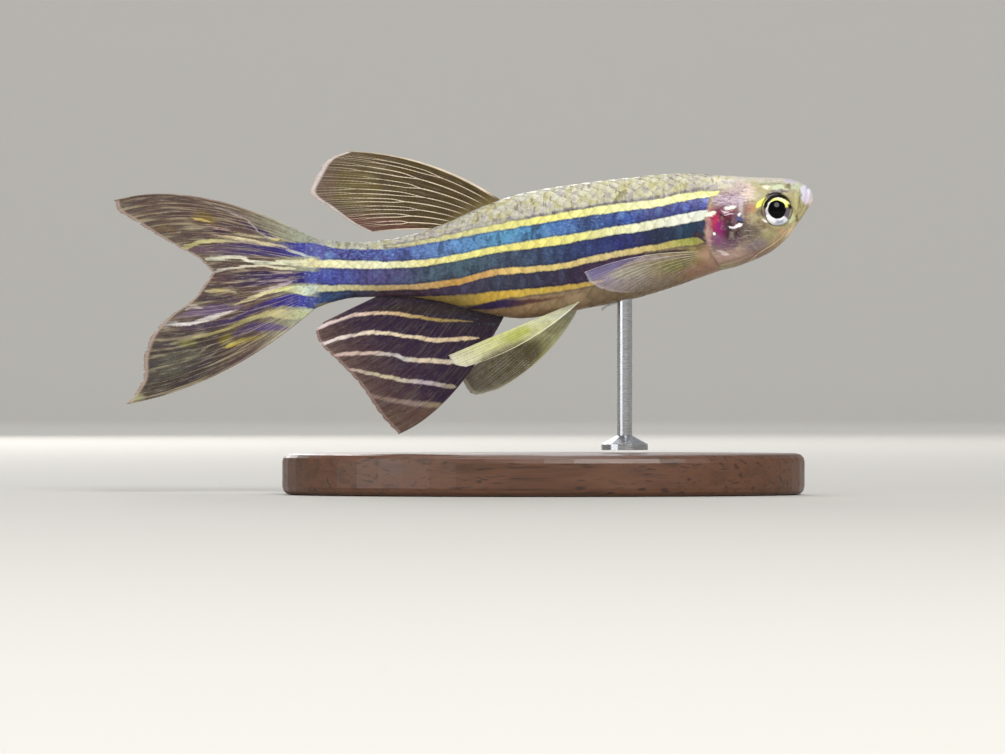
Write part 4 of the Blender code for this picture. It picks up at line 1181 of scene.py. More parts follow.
def ray_lines(surface, rays, radius, stout, spread, forks):
    """Each ray as a stem that forks twice. Stout rays, at either end, don't fork. Joints pinch
    the ray at even steps."""
    lines = []
    step = 1 / (rays - 1)

    def add(start, end, across_from, across_to, thick, thin):
        length = max(int((end - start) * 90), 6)
        t = np.linspace(0, 1, length)
        along = start + (end - start) * t
        across = np.clip(across_from + (across_to - across_from) * smooth(t * 2.2), 0.0, 1.0)
        spots = place(surface.spots(across, along))
        pinch = np.where(np.arange(length) % 2 == 0, 1.0, 0.86)
        lines.append((spots, (thick + (thin - thick) * t) * pinch, across, along))

    for i in range(rays):
        middle = i * step
        size = radius * (1.0 if i not in stout else 1.5)
        if i in stout or i == rays - 1:
            add(0.0, 1.0, middle, middle, size, size * 0.35)
            continue
        first, second = (fork + 0.07 * math.sin(i * 2.4 + 5 * fork) for fork in forks)
        add(0.0, first, middle, middle, size, size * 0.78)
        for side in (-1, 1):
            branch = middle + side * step * spread
            add(first, second, middle, branch, size * 0.68, size * 0.58)
            for turn in (-1, 1):
                twig = branch + turn * step * spread * 0.45
                add(second, 1.0, branch, twig, size * 0.50, size * 0.24)
    return lines


FinLook = namedtuple(
    "FinLook",
    "ground stripes blots comb hair streak ray_colour ray_share alpha tip_alpha edge_colour rear",
    defaults=(1.0,),
)


def fin_group(name, look):
    """A fin's own colours, shared by its membrane and its rays."""
    group = bpy.data.node_groups.new(name + "_colours", "ShaderNodeTree")
    group.interface.new_socket("Colour", in_out="OUTPUT", socket_type="NodeSocketColor")
    wires = Wiring(group)
    spot, true_behind, true_up = side_view(wires)
    behind, up = strayed(wires, spot, (1.0, 0.24), (5.0, 0.12))
    across, along = wires.attribute("across"), wires.attribute("along")
    comb_spot = wires.add("ShaderNodeCombineXYZ", {0: wires.times(across, 110.0), 1: along}).outputs[0]
    comb = wires.noise(comb_spot, 1.0, 1.0)
    hairs = wires.noise(wires.vector("MULTIPLY", comb_spot, (1.4, 9.0, 1.0)), 1.0, 2.0)
    up = wires.mad(wires.less(comb, 0.5), look.comb, up)
    ground = wires.ramp(along, [(s, linear(*rgb)) for s, *rgb in look.ground])
    mottle = wires.noise(spot, 1.6, 3.0)
    ground = wires.mix(wires.fade(mottle, 0.45, 0.7, 0.0, 0.25), ground, linear(60, 45, 40))
    colour = lay_blots(wires, ground, behind, up, look.blots)
    colour = lay_stripes(wires, colour, behind, up, look.stripes)
    past_root = wires.fade(along, 0.04, 0.2)
    streaks = wires.noise(wires.vector("MULTIPLY", comb_spot, (0.5, 3.5, 1.0)), 1.0, 2.0)
    dark = wires.times(past_root, wires.fade(streaks, 0.53, 0.64, 0.0, look.streak))
    colour = wires.mix(dark, colour, linear(44, 32, 56))
    pale = wires.times(past_root, wires.fade(streaks, 0.45, 0.35, 0.0, look.streak))
    colour = wires.mix(pale, colour, linear(196, 184, 150))
    dark = wires.times(past_root, wires.fade(hairs, 0.52, 0.68, 0.0, look.hair))
    colour = wires.mix(dark, colour, linear(50, 36, 48))
    pale = wires.times(past_root, wires.fade(hairs, 0.44, 0.32, 0.0, look.hair * 0.7))
    colour = wires.mix(pale, colour, linear(206, 196, 176))
    # Near the root the body's speckle carries on: dark specks, and pale specks that are painted glints of light
    speck = wires.noise(wires.vector("MULTIPLY", spot, (1.0, 1.0, 2.0)), 3.6, 2.5, 0.62)
    specks = wires.fade(along, 0.22, 0.06, 0.0, look.streak)
    colour = wires.mix(wires.times(specks, wires.fade(speck, 0.48, 0.34)), colour, linear(28, 34, 66))
    colour = wires.mix(wires.times(specks, wires.fade(speck, 0.52, 0.68)), colour, linear(150, 176, 206))
    out = wires.add("NodeGroupOutput")
    wires.feed(out.inputs[0], colour)
    return group


def fin_materials(name, look, rays):
    """The clear, tinted membrane and the paler, solid rays of a fin."""
    group = ensure_group(name + "_colours", lambda: fin_group(name, look))
    made = []
    for part in ("membrane", "rays"):
        material, wires, shader = new_material(name + "_" + part)
        colour = wires.add("ShaderNodeGroup", node_tree=group).outputs[0]
        spot, behind, up = side_view(wires)
        across, along = wires.attribute("across"), wires.attribute("along")
        rear = wires.fade(across, 0.2, 0.75, 1.0, look.rear)
        if part == "membrane":
            wave = wires.math("COSINE", wires.times(across, (rays - 1) * math.tau))
            near_ray = wires.times(wires.fade(wave, 0.55, 0.95, 0.0, 0.3), wires.fade(along, 0.05, 0.16))
            colour = wires.mix(near_ray, colour, linear(46, 34, 28))
            edge = wires.fade(along, 0.962, 0.982, 0.0, 0.75)
            colour = wires.mix(edge, colour, linear(*look.edge_colour))
            grain = wires.noise(spot, 2.2, 3.0)
            body = wires.fade(along, 0.2, 0.95, look.alpha, look.tip_alpha)
            body = wires.times(body, rear)
            alpha = wires.math("MULTIPLY", body, wires.fade(grain, 0.25, 0.75, 0.85, 1.15), clamp=True)
            rim = wires.times(wires.times(edge, rear), min(look.tip_alpha * 1.6, 0.8))
            wires.feed(shader.inputs["Alpha"], wires.math("MAXIMUM", alpha, rim))
            height = wires.noise(spot, 9.0, 2.0)
        else:
            pale = wires.noise(spot, 1.1, 2.0)
            share = wires.fade(pale, 0.3, 0.7, look.ray_share * 0.75, look.ray_share)
            if look.rear < 1:
                wires.feed(shader.inputs["Alpha"], rear)
            share = wires.times(share, wires.fade(along, 0.03, 0.16))
            share = wires.times(share, wires.fade(along, 0.55, 0.95, 1.0, 0.5))
            colour = wires.mix(share, colour, linear(*look.ray_colour))
            height = wires.noise(spot, 12.0, 2.0)
        values = {
            "Base Color": colour,
            "Normal": wires.bump(height, 0.3, 0.00003),
            "Roughness": 0.42,
            "Specular IOR Level": 0.2,
        }
        wires.dress(shader, values)
        made.append(material)
    return made


def along_body(start, end, steps, height, sink):
    """Knots just inside the back or belly line."""
    knots = []
    for i in range(steps + 1):
        behind = start + (end - start) * i / steps
        knots.append((behind, 0.0, float(height(behind)) + sink))
    return knots


TAIL_ROOT = 36.4
TAIL_MIDDLE = -5.3
DORSAL = FinSurface(
    root=along_body(22.5, 26.9, 3, back_at, -0.35),
    bow=[(27.6, 0.15, 3.30), (28.3, 0.15, 1.60), (29.1, 0.10, -0.40), (29.6, 0.0, -2.05)],
    tip=[(33.9, 0.7, 3.54), (35.4, 0.9, 2.95), (36.3, 1.0, 1.60), (36.7, 1.0, 0.50), (35.2, 0.8, -0.60),
         (33.6, 0.6, -1.70), (32.2, 0.4, -2.35)],
)
ANAL = FinSurface(
    root=along_body(22.4, 30.9, 4, belly_at, 0.35),
    bow=[(26.1, 0.2, -15.4), (28.8, 0.2, -12.2), (31.3, 0.1, -9.6), (33.6, 0.0, -7.95)],
    tip=[(30.2, 1.4, -17.1), (31.5, 1.3, -15.7), (33.0, 1.0, -13.5), (34.6, 0.6, -11.8), (35.9, 0.3, -10.5),
         (36.2, 0.1, -9.6), (35.7, 0.0, -9.0)],
)
TAIL = TwinSurface(
    FinSurface(
        root=[(TAIL_ROOT, 0.0, -2.85), (TAIL_ROOT, 0.0, -4.0), (TAIL_ROOT, 0.0, TAIL_MIDDLE)],
        bow=[(45.2, 0.0, 1.67), (42.6, 0.0, -2.2), (40.2, 0.0, TAIL_MIDDLE)],
        tip=[(51.12, 0.5, 0.0), (50.9, 0.5, -0.7), (49.6, 0.4, -1.5), (48.0, 0.3, -2.5), (46.2, 0.2, -3.5),
             (44.9, 0.1, -4.2), (43.8, 0.0, TAIL_MIDDLE)],
    ),
    FinSurface(
        root=[(TAIL_ROOT, 0.0, TAIL_MIDDLE), (TAIL_ROOT, 0.0, -6.7), (TAIL_ROOT, 0.0, -7.95)],
        bow=[(40.2, 0.0, TAIL_MIDDLE), (41.8, 0.0, -9.0), (42.9, 0.0, -13.6)],
        tip=[(43.8, 0.0, TAIL_MIDDLE), (45.3, -0.1, -7.3), (47.0, -0.2, -8.5), (48.3, -0.3, -9.9),
             (48.9, -0.4, -11.5), (49.0, -0.5, -13.2), (50.1, -0.6, -14.9)],
    ),
)
PECTORAL_ROOT = ((7.9, -3.95), (8.1, -4.35), (8.2, -4.75))
PELVIC_ROOT = ((16.8, -7.35), (17.3, -7.65), (17.9, -7.95))


def paired_root(spots, sign):
    return [off_skin(behind, up, sign, -0.12) for behind, up in spots]


PECTORAL_RIGHT = FinSurface(
    root=paired_root(PECTORAL_ROOT, -1),
    bow=[(12.6, -3.5, -3.75), (11.2, -3.3, -4.9), (9.4, -3.0, -5.3)],
    tip=[(16.7, -3.5, -5.4), (16.2, -3.7, -6.2), (14.6, -3.7, -6.8), (12.6, -3.5, -6.8), (10.6, -3.2, -6.3)],
)
PECTORAL_LEFT = FinSurface(
    root=paired_root(PECTORAL_ROOT, 1),
    bow=[(12.0, 4.4, -5.3), (11.0, 4.0, -5.3), (9.6, 3.4, -5.4)],
    tip=[(15.3, 5.6, -8.1), (15.3, 4.9, -7.9), (14.2, 4.3, -7.6), (12.6, 3.8, -7.1), (11.0, 3.4, -6.4)],
)
PELVIC_RIGHT = FinSurface(
    root=paired_root(PELVIC_ROOT, -1),
    bow=[(20.6, -2.9, -10.9), (21.2, -2.3, -9.9), (21.7, -1.9, -9.35)],
    tip=[(25.3, -3.0, -12.2), (26.1, -2.7, -12.0), (26.5, -2.3, -11.4)],
)
PELVIC_LEFT = FinSurface(
    root=paired_root(PELVIC_ROOT, 1),
    bow=[(18.7, 2.4, -11.6), (20.0, 2.2, -10.6), (21.5, 1.9, -9.9)],
    tip=[(23.1, 2.7, -13.9), (24.8, 2.7, -14.2), (25.7, 2.4, -12.9)],
)

ANAL_STRIPES = (
    Stripe(((24.5, -8.9, 0.0), (27.1, -8.80, 0.10), (28.6, -8.60, 0.11), (30.0, -8.38, 0.12), (31.5, -8.26, 0.12), (33.0, -8.38, 0.12),
            (34.4, -8.75, 0.13), (35.9, -9.3, 0.14), (36.3, -9.45, 0.10)), ((0.0, 140, 122, 74), (0.3, 168, 144, 84), (0.5, 214, 184, 140), (0.8, 240, 216, 206), (1.0, 248, 232, 236)), 0.06),
    Stripe(((24.2, -10.1, 0.0), (25.7, -10.15, 0.14), (27.1, -10.25, 0.14), (28.6, -10.1, 0.13), (30.0, -9.9, 0.12), (31.9, -9.70, 0.12),
            (33.0, -9.82, 0.12), (34.4, -10.1, 0.13), (35.9, -10.6, 0.13), (36.3, -10.7, 0.08)), ((0.0, 214, 190, 150), (0.3, 226, 204, 170), (0.6, 246, 228, 200), (1.0, 250, 236, 240)), 0.06),
    Stripe(((25.5, -11.85, 0.0), (26.0, -11.85, 0.14), (27.6, -11.75, 0.16), (29.4, -11.70, 0.17), (30.2, -11.4, 0.14), (31.5, -11.25, 0.13),
            (33.0, -11.22, 0.13), (34.4, -11.3, 0.12), (35.3, -11.4, 0.05)), ((0.0, 206, 196, 176), (0.3, 234, 214, 186), (0.45, 206, 206, 200), (0.7, 230, 204, 190), (1.0, 226, 196, 190)), 0.07),
    Stripe(((25.9, -13.7, 0.0), (26.6, -13.6, 0.16), (28.0, -13.35, 0.15), (29.4, -13.25, 0.15), (30.8, -13.0, 0.13), (32.2, -12.7, 0.13),
            (33.4, -12.45, 0.11), (34.0, -12.4, 0.04)), ((0.0, 196, 184, 150), (0.3, 200, 186, 196), (0.6, 226, 214, 176), (1.0, 206, 186, 176)), 0.07),
    Stripe(((26.4, -15.1, 0.0), (27.5, -15.0, 0.18), (29.0, -14.9, 0.18), (30.4, -14.7, 0.16), (31.6, -14.45, 0.14), (32.6, -14.1, 0.04)), ((0.0, 160, 146, 96), (0.4, 170, 150, 140), (1.0, 150, 124, 110)), 0.12, 0.85),
)
ANAL_LOOK = FinLook(
    ground=((0.0, 34, 24, 26), (0.25, 38, 22, 50), (0.6, 52, 30, 58), (0.8, 78, 54, 60), (1.0, 112, 88, 80)),
    stripes=ANAL_STRIPES,
    blots=(
        Blot(27.5, -8, 4.5, 0.35, (44, 34, 30), 0.8, 0, 0.5),
        Blot(29, -16.2, 2.8, 1.2, (104, 78, 62), 0.8, 0, 0.5),
    ),
    comb=0.2,
    hair=0.16,
    streak=0.08,
    ray_colour=(110, 80, 92),
    ray_share=0.3,
    alpha=0.98,
    tip_alpha=0.82,
    edge_colour=(190, 160, 150),
)
DORSAL_LOOK = FinLook(
    ground=((0.0, 124, 108, 60), (0.15, 68, 52, 14), (0.5, 70, 54, 18), (0.8, 84, 68, 34), (1.0, 104, 86, 66)),
    stripes=(),
    blots=(
        Blot(31.5, -2, 3, 0.8, (96, 52, 44), 0.75, 8, 0.5),
        Blot(33.4, 0.9, 1.8, 1.4, (98, 84, 34), 0.7, 0, 0.5),
        Blot(35.6, 1.2, 0.9, 1.6, (104, 80, 66), 0.6, 0, 0.5),
    ),
    comb=0.2,
    hair=0.2,
    streak=0.12,
    ray_colour=(240, 222, 194),
    ray_share=0.95,
    alpha=0.96,
    tip_alpha=0.88,
    edge_colour=(246, 232, 228),
)
TAIL_STRIPES = (
    Stripe(
        ((36.3, -3.64, 0.51), (43.1, -3.64, 0.44), (45.2, -3.64, 0.22), (46, -3.71, 0)),
        ((0, 78, 82, 168), (0.12, 58, 54, 146), (0.3, 50, 40, 106), (0.55, 70, 54, 98), (0.8, 92, 66, 84),
         (1, 100, 76, 80)), 0.08,
    ),
    Stripe(
        ((38.9, -2.91, 0), (39.6, -2.58, 0.15), (40.4, -2.22, 0.16), (42.5, -1.38, 0)),
        ((0, 70, 60, 110), (0.4, 48, 34, 72), (1, 80, 56, 66)), 0.06,
    ),
    Stripe(
        ((36.3, -5.67, 0.44), (38.6, -5.67, 0.44), (41.7, -5.82, 0.62), (43.4, -5.78, 0.44), (44, -5.75,
         0)),
        ((0, 66, 76, 178), (0.12, 34, 22, 98), (0.28, 60, 42, 92), (0.5, 52, 38, 82), (0.75, 74, 52, 64),
         (1, 92, 62, 52)), 0.08,
    ),
    Stripe(
        ((36, -7.56, 0.44), (38, -7.35, 0.44), (38.8, -7.38, 0.36), (40.6, -7.96, 0.25), (43.7, -9.13,
         0.25), (45.8, -9.38, 0.18), (46.6, -9.38, 0)),
        ((0, 84, 96, 160), (0.1, 58, 58, 150), (0.22, 44, 34, 134), (0.4, 58, 40, 98), (0.7, 64, 44, 76),
         (1, 84, 62, 64)), 0.07,
    ),
    Stripe(
        ((41.2, -7.71, 0), (43, -7.93, 0.33), (44, -8.07, 0.4), (45, -8.22, 0.33), (46.6, -8.58, 0)),
        ((0, 92, 70, 98), (0.5, 102, 82, 122), (1, 120, 100, 110)), 0.1,
    ),
    Stripe(
        ((41.4, -7.13, 0), (42.2, -7.24, 0.22), (43.3, -7.2, 0.25), (44.3, -7.2, 0.22), (44.9, -7.24, 0)),
        ((0, 80, 58, 70), (1, 62, 42, 48)), 0.08,
    ),
    Stripe(
        ((38, -9.45, 0), (38.8, -9.31, 0.22), (40.5, -9.27, 0.29), (41.4, -9.53, 0.23), (42.5, -9.96, 0)),
        ((0, 112, 94, 122), (0.4, 86, 70, 118), (1, 70, 52, 84)), 0.1,
    ),
    Stripe(
        ((38.5, -2.84, 0), (39.0, -2.84, 0.04), (41.7, -1.24, 0.07), (44.7, -0.07, 0)),
        ((0, 200, 196, 190), (0.4, 190, 176, 178), (1, 180, 160, 145)), 0.05, 0.6,
    ),
    Stripe(
        ((36, -4.58, 0.36), (36.7, -4.62, 0.33), (37.5, -4.58, 0.19), (39.9, -4.62, 0.14), (42.5, -4.18,
         0.12), (43.6, -4.29, 0.14), (44.1, -4.29, 0.1), (44.5, -4.29, 0)),
        ((0, 244, 230, 164), (0.2, 230, 228, 190), (0.5, 232, 232, 206), (0.8, 226, 222, 200), (1, 200,
         200, 170)), 0.06,
    ),
    Stripe(
        ((36.3, -4.28, 0), (36.9, -4.12, 0.08), (37.7, -3.85, 0.08), (38.5, -3.66, 0)),
        ((0, 196, 206, 200), (1, 190, 190, 190)), 0.05,
    ),
    Stripe(
        ((37.6, -5.02, 0), (38.1, -5.02, 0.09), (40.5, -4.8, 0.09), (41.5, -4.87, 0.09), (43.4, -5.19, 0.11), (43.7, -5.24,
         0)),
        ((0, 206, 206, 170), (0.3, 230, 224, 190), (0.7, 222, 214, 196), (1, 200, 190, 176)), 0.05,
    ),
    Stripe(
        ((37.9, -3.71, 0), (38.8, -3.42, 0.09), (41.7, -2.88, 0.13), (43.4, -2.62, 0.06), (44.1, -2.4, 0)),
        ((0, 150, 140, 150), (0.3, 214, 200, 160), (0.6, 240, 228, 180), (0.8, 200, 180, 140), (1, 140,
         110, 90)), 0.05,
    ),
    Stripe(
        ((40.1, -3.24, 0), (41.1, -3.09, 0.06), (44, -2.97, 0.14), (45.6, -3.38, 0.17), (46.2, -3.56,
         0.12), (46.5, -3.64, 0)),
        ((0, 120, 104, 120), (0.3, 150, 140, 120), (0.5, 206, 196, 140), (0.75, 204, 194, 128), (1, 170,
         160, 110)), 0.06,
    ),
    Stripe(
        ((36, -6.55, 0.29), (36.9, -6.62, 0.33), (38.5, -6.51, 0.19), (41.1, -7.27, 0.15), (42.7, -7.82,
         0)),
        ((0, 200, 214, 196), (0.15, 216, 226, 200), (0.35, 222, 222, 150), (0.6, 226, 214, 166), (1, 180,
         160, 120)), 0.06,
    ),
    Stripe(
        ((37.8, -5.96, 0), (38.5, -6.18, 0.08), (40.2, -6.62, 0.07), (41, -6.76, 0)),
        ((0, 190, 172, 184), (1, 170, 150, 156)), 0.05,
    ),
    Stripe(
        ((41.7, -6.95, 0), (43.4, -6.59, 0.13), (44, -6.62, 0.11), (44.4, -6.65, 0)),
        ((0, 150, 130, 110), (0.6, 190, 174, 116), (1, 190, 176, 140)), 0.06,
    ),
    Stripe(
        ((37.9, -5.85, 0), (38.4, -5.85, 0.07), (38.9, -5.82, 0.09), (41.7, -6.44, 0)),
        ((0, 176, 158, 166), (1, 120, 98, 120)), 0.05, 0.85,
    ),
    Stripe(
        ((37.9, -5.31, 0), (38.4, -5.31, 0.07), (40.1, -5.49, 0)),
        ((0, 196, 178, 176), (1, 120, 100, 130)), 0.05, 0.8,
    ),
    Stripe(
        ((41.7, -7.96, 0), (43.4, -8.42, 0.14), (45.6, -9.02, 0.15), (47.4, -9.05, 0.17), (47.9, -9.24,
         0)),
        ((0, 170, 150, 140), (0.25, 238, 228, 222), (0.7, 240, 234, 234), (0.85, 180, 176, 172), (1, 130,
         126, 120)), 0.06,
    ),
    Stripe(
        ((44.4, -7.82, 0), (45.2, -7.82, 0.11), (45.6, -7.89, 0.11), (45.9, -7.96, 0)),
        ((0, 200, 186, 176), (1, 200, 186, 176)), 0.06,
    ),
    Stripe(
        ((37.2, -8.36, 0.36), (38.3, -8.36, 0.36), (39.4, -8.29, 0.25), (40.2, -8.44, 0.19), (43.7, -9.75,
         0.1), (45.5, -10.18, 0.15), (46.3, -10.4, 0.12), (47.1, -10.62, 0)),
        ((0, 186, 190, 146), (0.2, 198, 188, 134), (0.4, 172, 166, 104), (0.6, 150, 140, 76), (0.8, 154,
         144, 94), (1, 120, 116, 84)), 0.07,
    ),
    Stripe(
        ((39.6, -9.89, 0), (40.5, -10.04, 0.15), (41.4, -10.25, 0.18), (42.2, -10.55, 0.17), (43.1, -10.87,
         0)),
        ((0, 126, 112, 66), (0.5, 142, 126, 50), (0.85, 200, 184, 76), (1, 150, 130, 60)), 0.06,
    ),
)
TAIL_LOOK = FinLook(
    ground=((0.0, 166, 170, 146), (0.12, 152, 152, 126), (0.35, 100, 80, 70), (0.8, 82, 62, 50), (1.0, 108, 90, 74)),
    stripes=TAIL_STRIPES,
    blots=(
        Blot(46.2, -12, 4, 2.2, (54, 46, 38), 0.8, -24),
        Blot(47.3, -0.9, 3, 0.9, (98, 72, 52), 0.5, 12),
        Blot(44.29, -1.24, 0.95, 0.33, (114, 92, 26), 0.85, 14, 0.9),
        Blot(44.58, -1.45, 0.73, 0.09, (232, 204, 112), 0.75, 14, 0.8),
        Blot(43.56, -2.25, 0.8, 0.12, (60, 34, 58), 0.9, 13, 0.8),
        Blot(43.42, -2.06, 0.87, 0.06, (198, 164, 152), 0.8, 13, 0.8),
        Blot(41.16, -2.62, 1.09, 0.09, (210, 200, 152), 0.9, 8, 0.7),
        Blot(39.35, -2.8, 0.55, 0.1, (230, 216, 122), 1, 21, 0.6),
        Blot(47.35, -2.11, 0.95, 0.26, (110, 84, 40), 0.6, 10),
        Blot(42.76, -10.18, 0.58, 0.33, (120, 108, 28), 0.85, -28, 0.9),
        Blot(45.67, -10.55, 0.65, 0.19, (110, 112, 34), 0.85, -10, 0.9),
        Blot(44.44, -10.98, 0.73, 0.08, (146, 130, 118), 0.8, -30, 0.8),
        Blot(44, -11.42, 0.73, 0.08, (138, 124, 112), 0.7, -32, 0.8),
        Blot(46.33, -11.85, 1.89, 0.87, (86, 84, 66), 0.8, -20),
        Blot(49.45, -14.55, 0.58, 0.33, (168, 166, 120), 0.8, -10),
    ),
    comb=0.3,
    hair=0.35,
    streak=0.4,
    ray_colour=(214, 190, 168),
    ray_share=0.28,
    alpha=0.97,
    tip_alpha=0.80,
    edge_colour=(196, 172, 156),
)
PECTORAL_LOOK = FinLook(
    ground=((0.0, 180, 178, 110), (0.3, 160, 156, 110), (0.7, 168, 164, 168), (1.0, 182, 174, 190)),
    stripes=(
        Stripe(((9.0, -4.2, 0.0), (10.5, -4.3, 0.10), (12.6, -4.35, 0.22), (14.5, -4.75, 0.26), (16.0, -5.2, 0.26), (16.9, -5.5, 0.1)),
               ((0.0, 196, 190, 180), (0.5, 164, 158, 208), (1.0, 160, 150, 196)), 0.14, 0.9),
    ),
    blots=(
        Blot(15.4, -5.4, 1.8, 0.9, (166, 158, 206), 0.9, -10),
        Blot(10.6, -5.1, 1.3, 0.6, (140, 140, 66), 0.7, -10, 0.5),
        Blot(13.6, -5.4, 1.3, 0.4, (206, 206, 186), 0.7, -10, 0.5),
    ),
    comb=0.2,
    hair=0.2,
    streak=0.1,
    ray_colour=(226, 222, 206),
    ray_share=0.6,
    alpha=0.06,
    tip_alpha=0.22,
    edge_colour=(206, 200, 206),
    rear=0.12,
)
PELVIC_LOOK = FinLook(
    ground=((0.0, 206, 206, 182), (0.35, 216, 218, 164), (0.65, 220, 222, 140), (1.0, 228, 226, 194)),
    stripes=(
        Stripe(((17.5, -8.4, 0.05), (19.5, -8.75, 0.14), (22.0, -9.3, 0.18), (24.3, -10.4, 0.2), (26.2, -11.2, 0.18)),
               ((0.0, 206, 214, 206), (0.5, 238, 238, 170), (1.0, 214, 214, 170)), 0.14, 0.85),
    ),
    blots=(
        Blot(21.6, -9.9, 1.2, 0.35, (186, 192, 84), 0.8, -24, 0.5),
        Blot(22.6, -12.2, 3.4, 1.3, (92, 76, 42), 0.9, -28, 0.5),
    ),
    comb=0.2,
    hair=0.25,
    streak=0.08,
    ray_colour=(232, 228, 206),
    ray_share=0.8,
    alpha=0.84,
    tip_alpha=0.66,
    edge_colour=(222, 218, 200),
)


class DanioSkinSettings(bpy.types.PropertyGroup):
    """Sizes of the skin and its scales."""

    inset: bpy.props.FloatProperty(
        name="Inset", description="How far the skin lies inside the solids, in millimetres", default=0.03, min=0.0
    )
    points_around: bpy.props.IntProperty(
        name="Points around", description="Points in each ring of the skin", default=184, min=24
    )
    scale_pitch: bpy.props.FloatProperty(
        name="Scale pitch", description="Length that shows of the largest scales, in millimetres", default=1.0, min=0.4
    )
    scale_rows: bpy.props.IntProperty(
        name="Scale rows", description="Rows of scales around the body", default=20, min=8
    )
    scale_lift: bpy.props.FloatProperty(
        name="Scale lift", description="How far the scales stand off the skin, as a share", default=1.0, min=0.1
    )


class DanioFinSettings(bpy.types.PropertyGroup):
    """Sizes of the fins."""

    root_thickness: bpy.props.FloatProperty(
        name="Root thickness", description="Membrane thickness at the body, in millimetres", default=0.13, min=0.02
    )
    tip_thickness: bpy.props.FloatProperty(
        name="Tip thickness", description="Membrane thickness at its edge, in millimetres", default=0.02, min=0.01
    )
    ray_radius: bpy.props.FloatProperty(
        name="Ray radius", description="Radius of a ray at the body, in millimetres", default=0.075, min=0.01
    )
    ray_sides: bpy.props.IntProperty(
        name="Ray sides", description="Sides of a ray's section", default=6, min=3
    )


class DanioEyeSettings(bpy.types.PropertyGroup):
    """Sizes of the eye."""

    radius: bpy.props.FloatProperty(
        name="Radius", description="Radius of the eyeball in millimetres", default=1.17, min=0.2
    )
    pupil: bpy.props.FloatProperty(
        name="Pupil", description="Radius of the pupil in millimetres", default=0.66, min=0.1
    )


class DanioStageSettings(bpy.types.PropertyGroup):
    """The stand's colours and the studio."""

    wood: bpy.props.FloatVectorProperty(
        name="Wood", description="Dark tone of the base", subtype="COLOR", size=4, default=linear(74, 46, 30)
    )
    floor: bpy.props.FloatVectorProperty(
        name="Floor", description="Colour of the floor", subtype="COLOR", size=4, default=linear(184, 181, 175)
    )
    key_watts: bpy.props.FloatProperty(
        name="Key light", description="Strength of the key light in watts", default=2.1, min=0.0
    )
    distance: bpy.props.FloatProperty(
        name="Camera distance", description="Camera to fish", default=0.5, min=0.1, unit="LENGTH"
    )


def ensure_group(name, maker):
    return bpy.data.node_groups.get(name) or maker()


class DANIO_OT_skin(bpy.types.Operator):
    """Builds the one skin of head, gill covers, trunk and tail stem"""

    bl_idname = "danio.skin"
    bl_label = "Skin"

    def execute(self, context):
        settings = context.scene.danio_skin
        ensure_group("danio_markings", markings_group)
        rings = body_rings(HEAD_STEP, BODY_STEP)
        points, faces = body_surface(rings, settings.points_around, settings.inset, True)
        item = face_outwards(mesh_object("skin", points, faces))
        item.data.materials.append(fish_material("danio_skin", False))
        nodes = ("head", "lower_jaw", "gill_cover_left", "gill_cover_right", "torso", "tail_stem")
        finish_piece(item, "striped_skin", *nodes)
        return {"FINISHED"}


class DANIO_OT_scales(bpy.types.Operator):
    """Covers the trunk with overlapping scales"""

    bl_idname = "danio.scales"
    bl_label = "Scales"

    def execute(self, context):
        settings = context.scene.danio_skin
        ensure_group("danio_markings", markings_group)
        points, faces = body_surface(body_rings(0.25, 0.25), 120, settings.inset, False)
        bed = face_outwards(mesh_object("scale_bed", points, faces))
        template = scale_template()
        item = scale_roots(settings.scale_pitch, settings.scale_rows)
        values = {
            "Scale": template,
            "Skin": bed,
            "Lift": settings.scale_lift,
            "Material": fish_material("danio_scales", True),
        }
        run_geometry(item, scale_tree(), values)
        item.data.shade_smooth()
        item.data.set_sharp_from_angle(angle=math.radians(50))
        face_outwards(item)
        for spare in (bed, template):
            bpy.data.objects.remove(spare, do_unlink=True)
        finish_piece(item, "striped_skin")
        return {"FINISHED"}


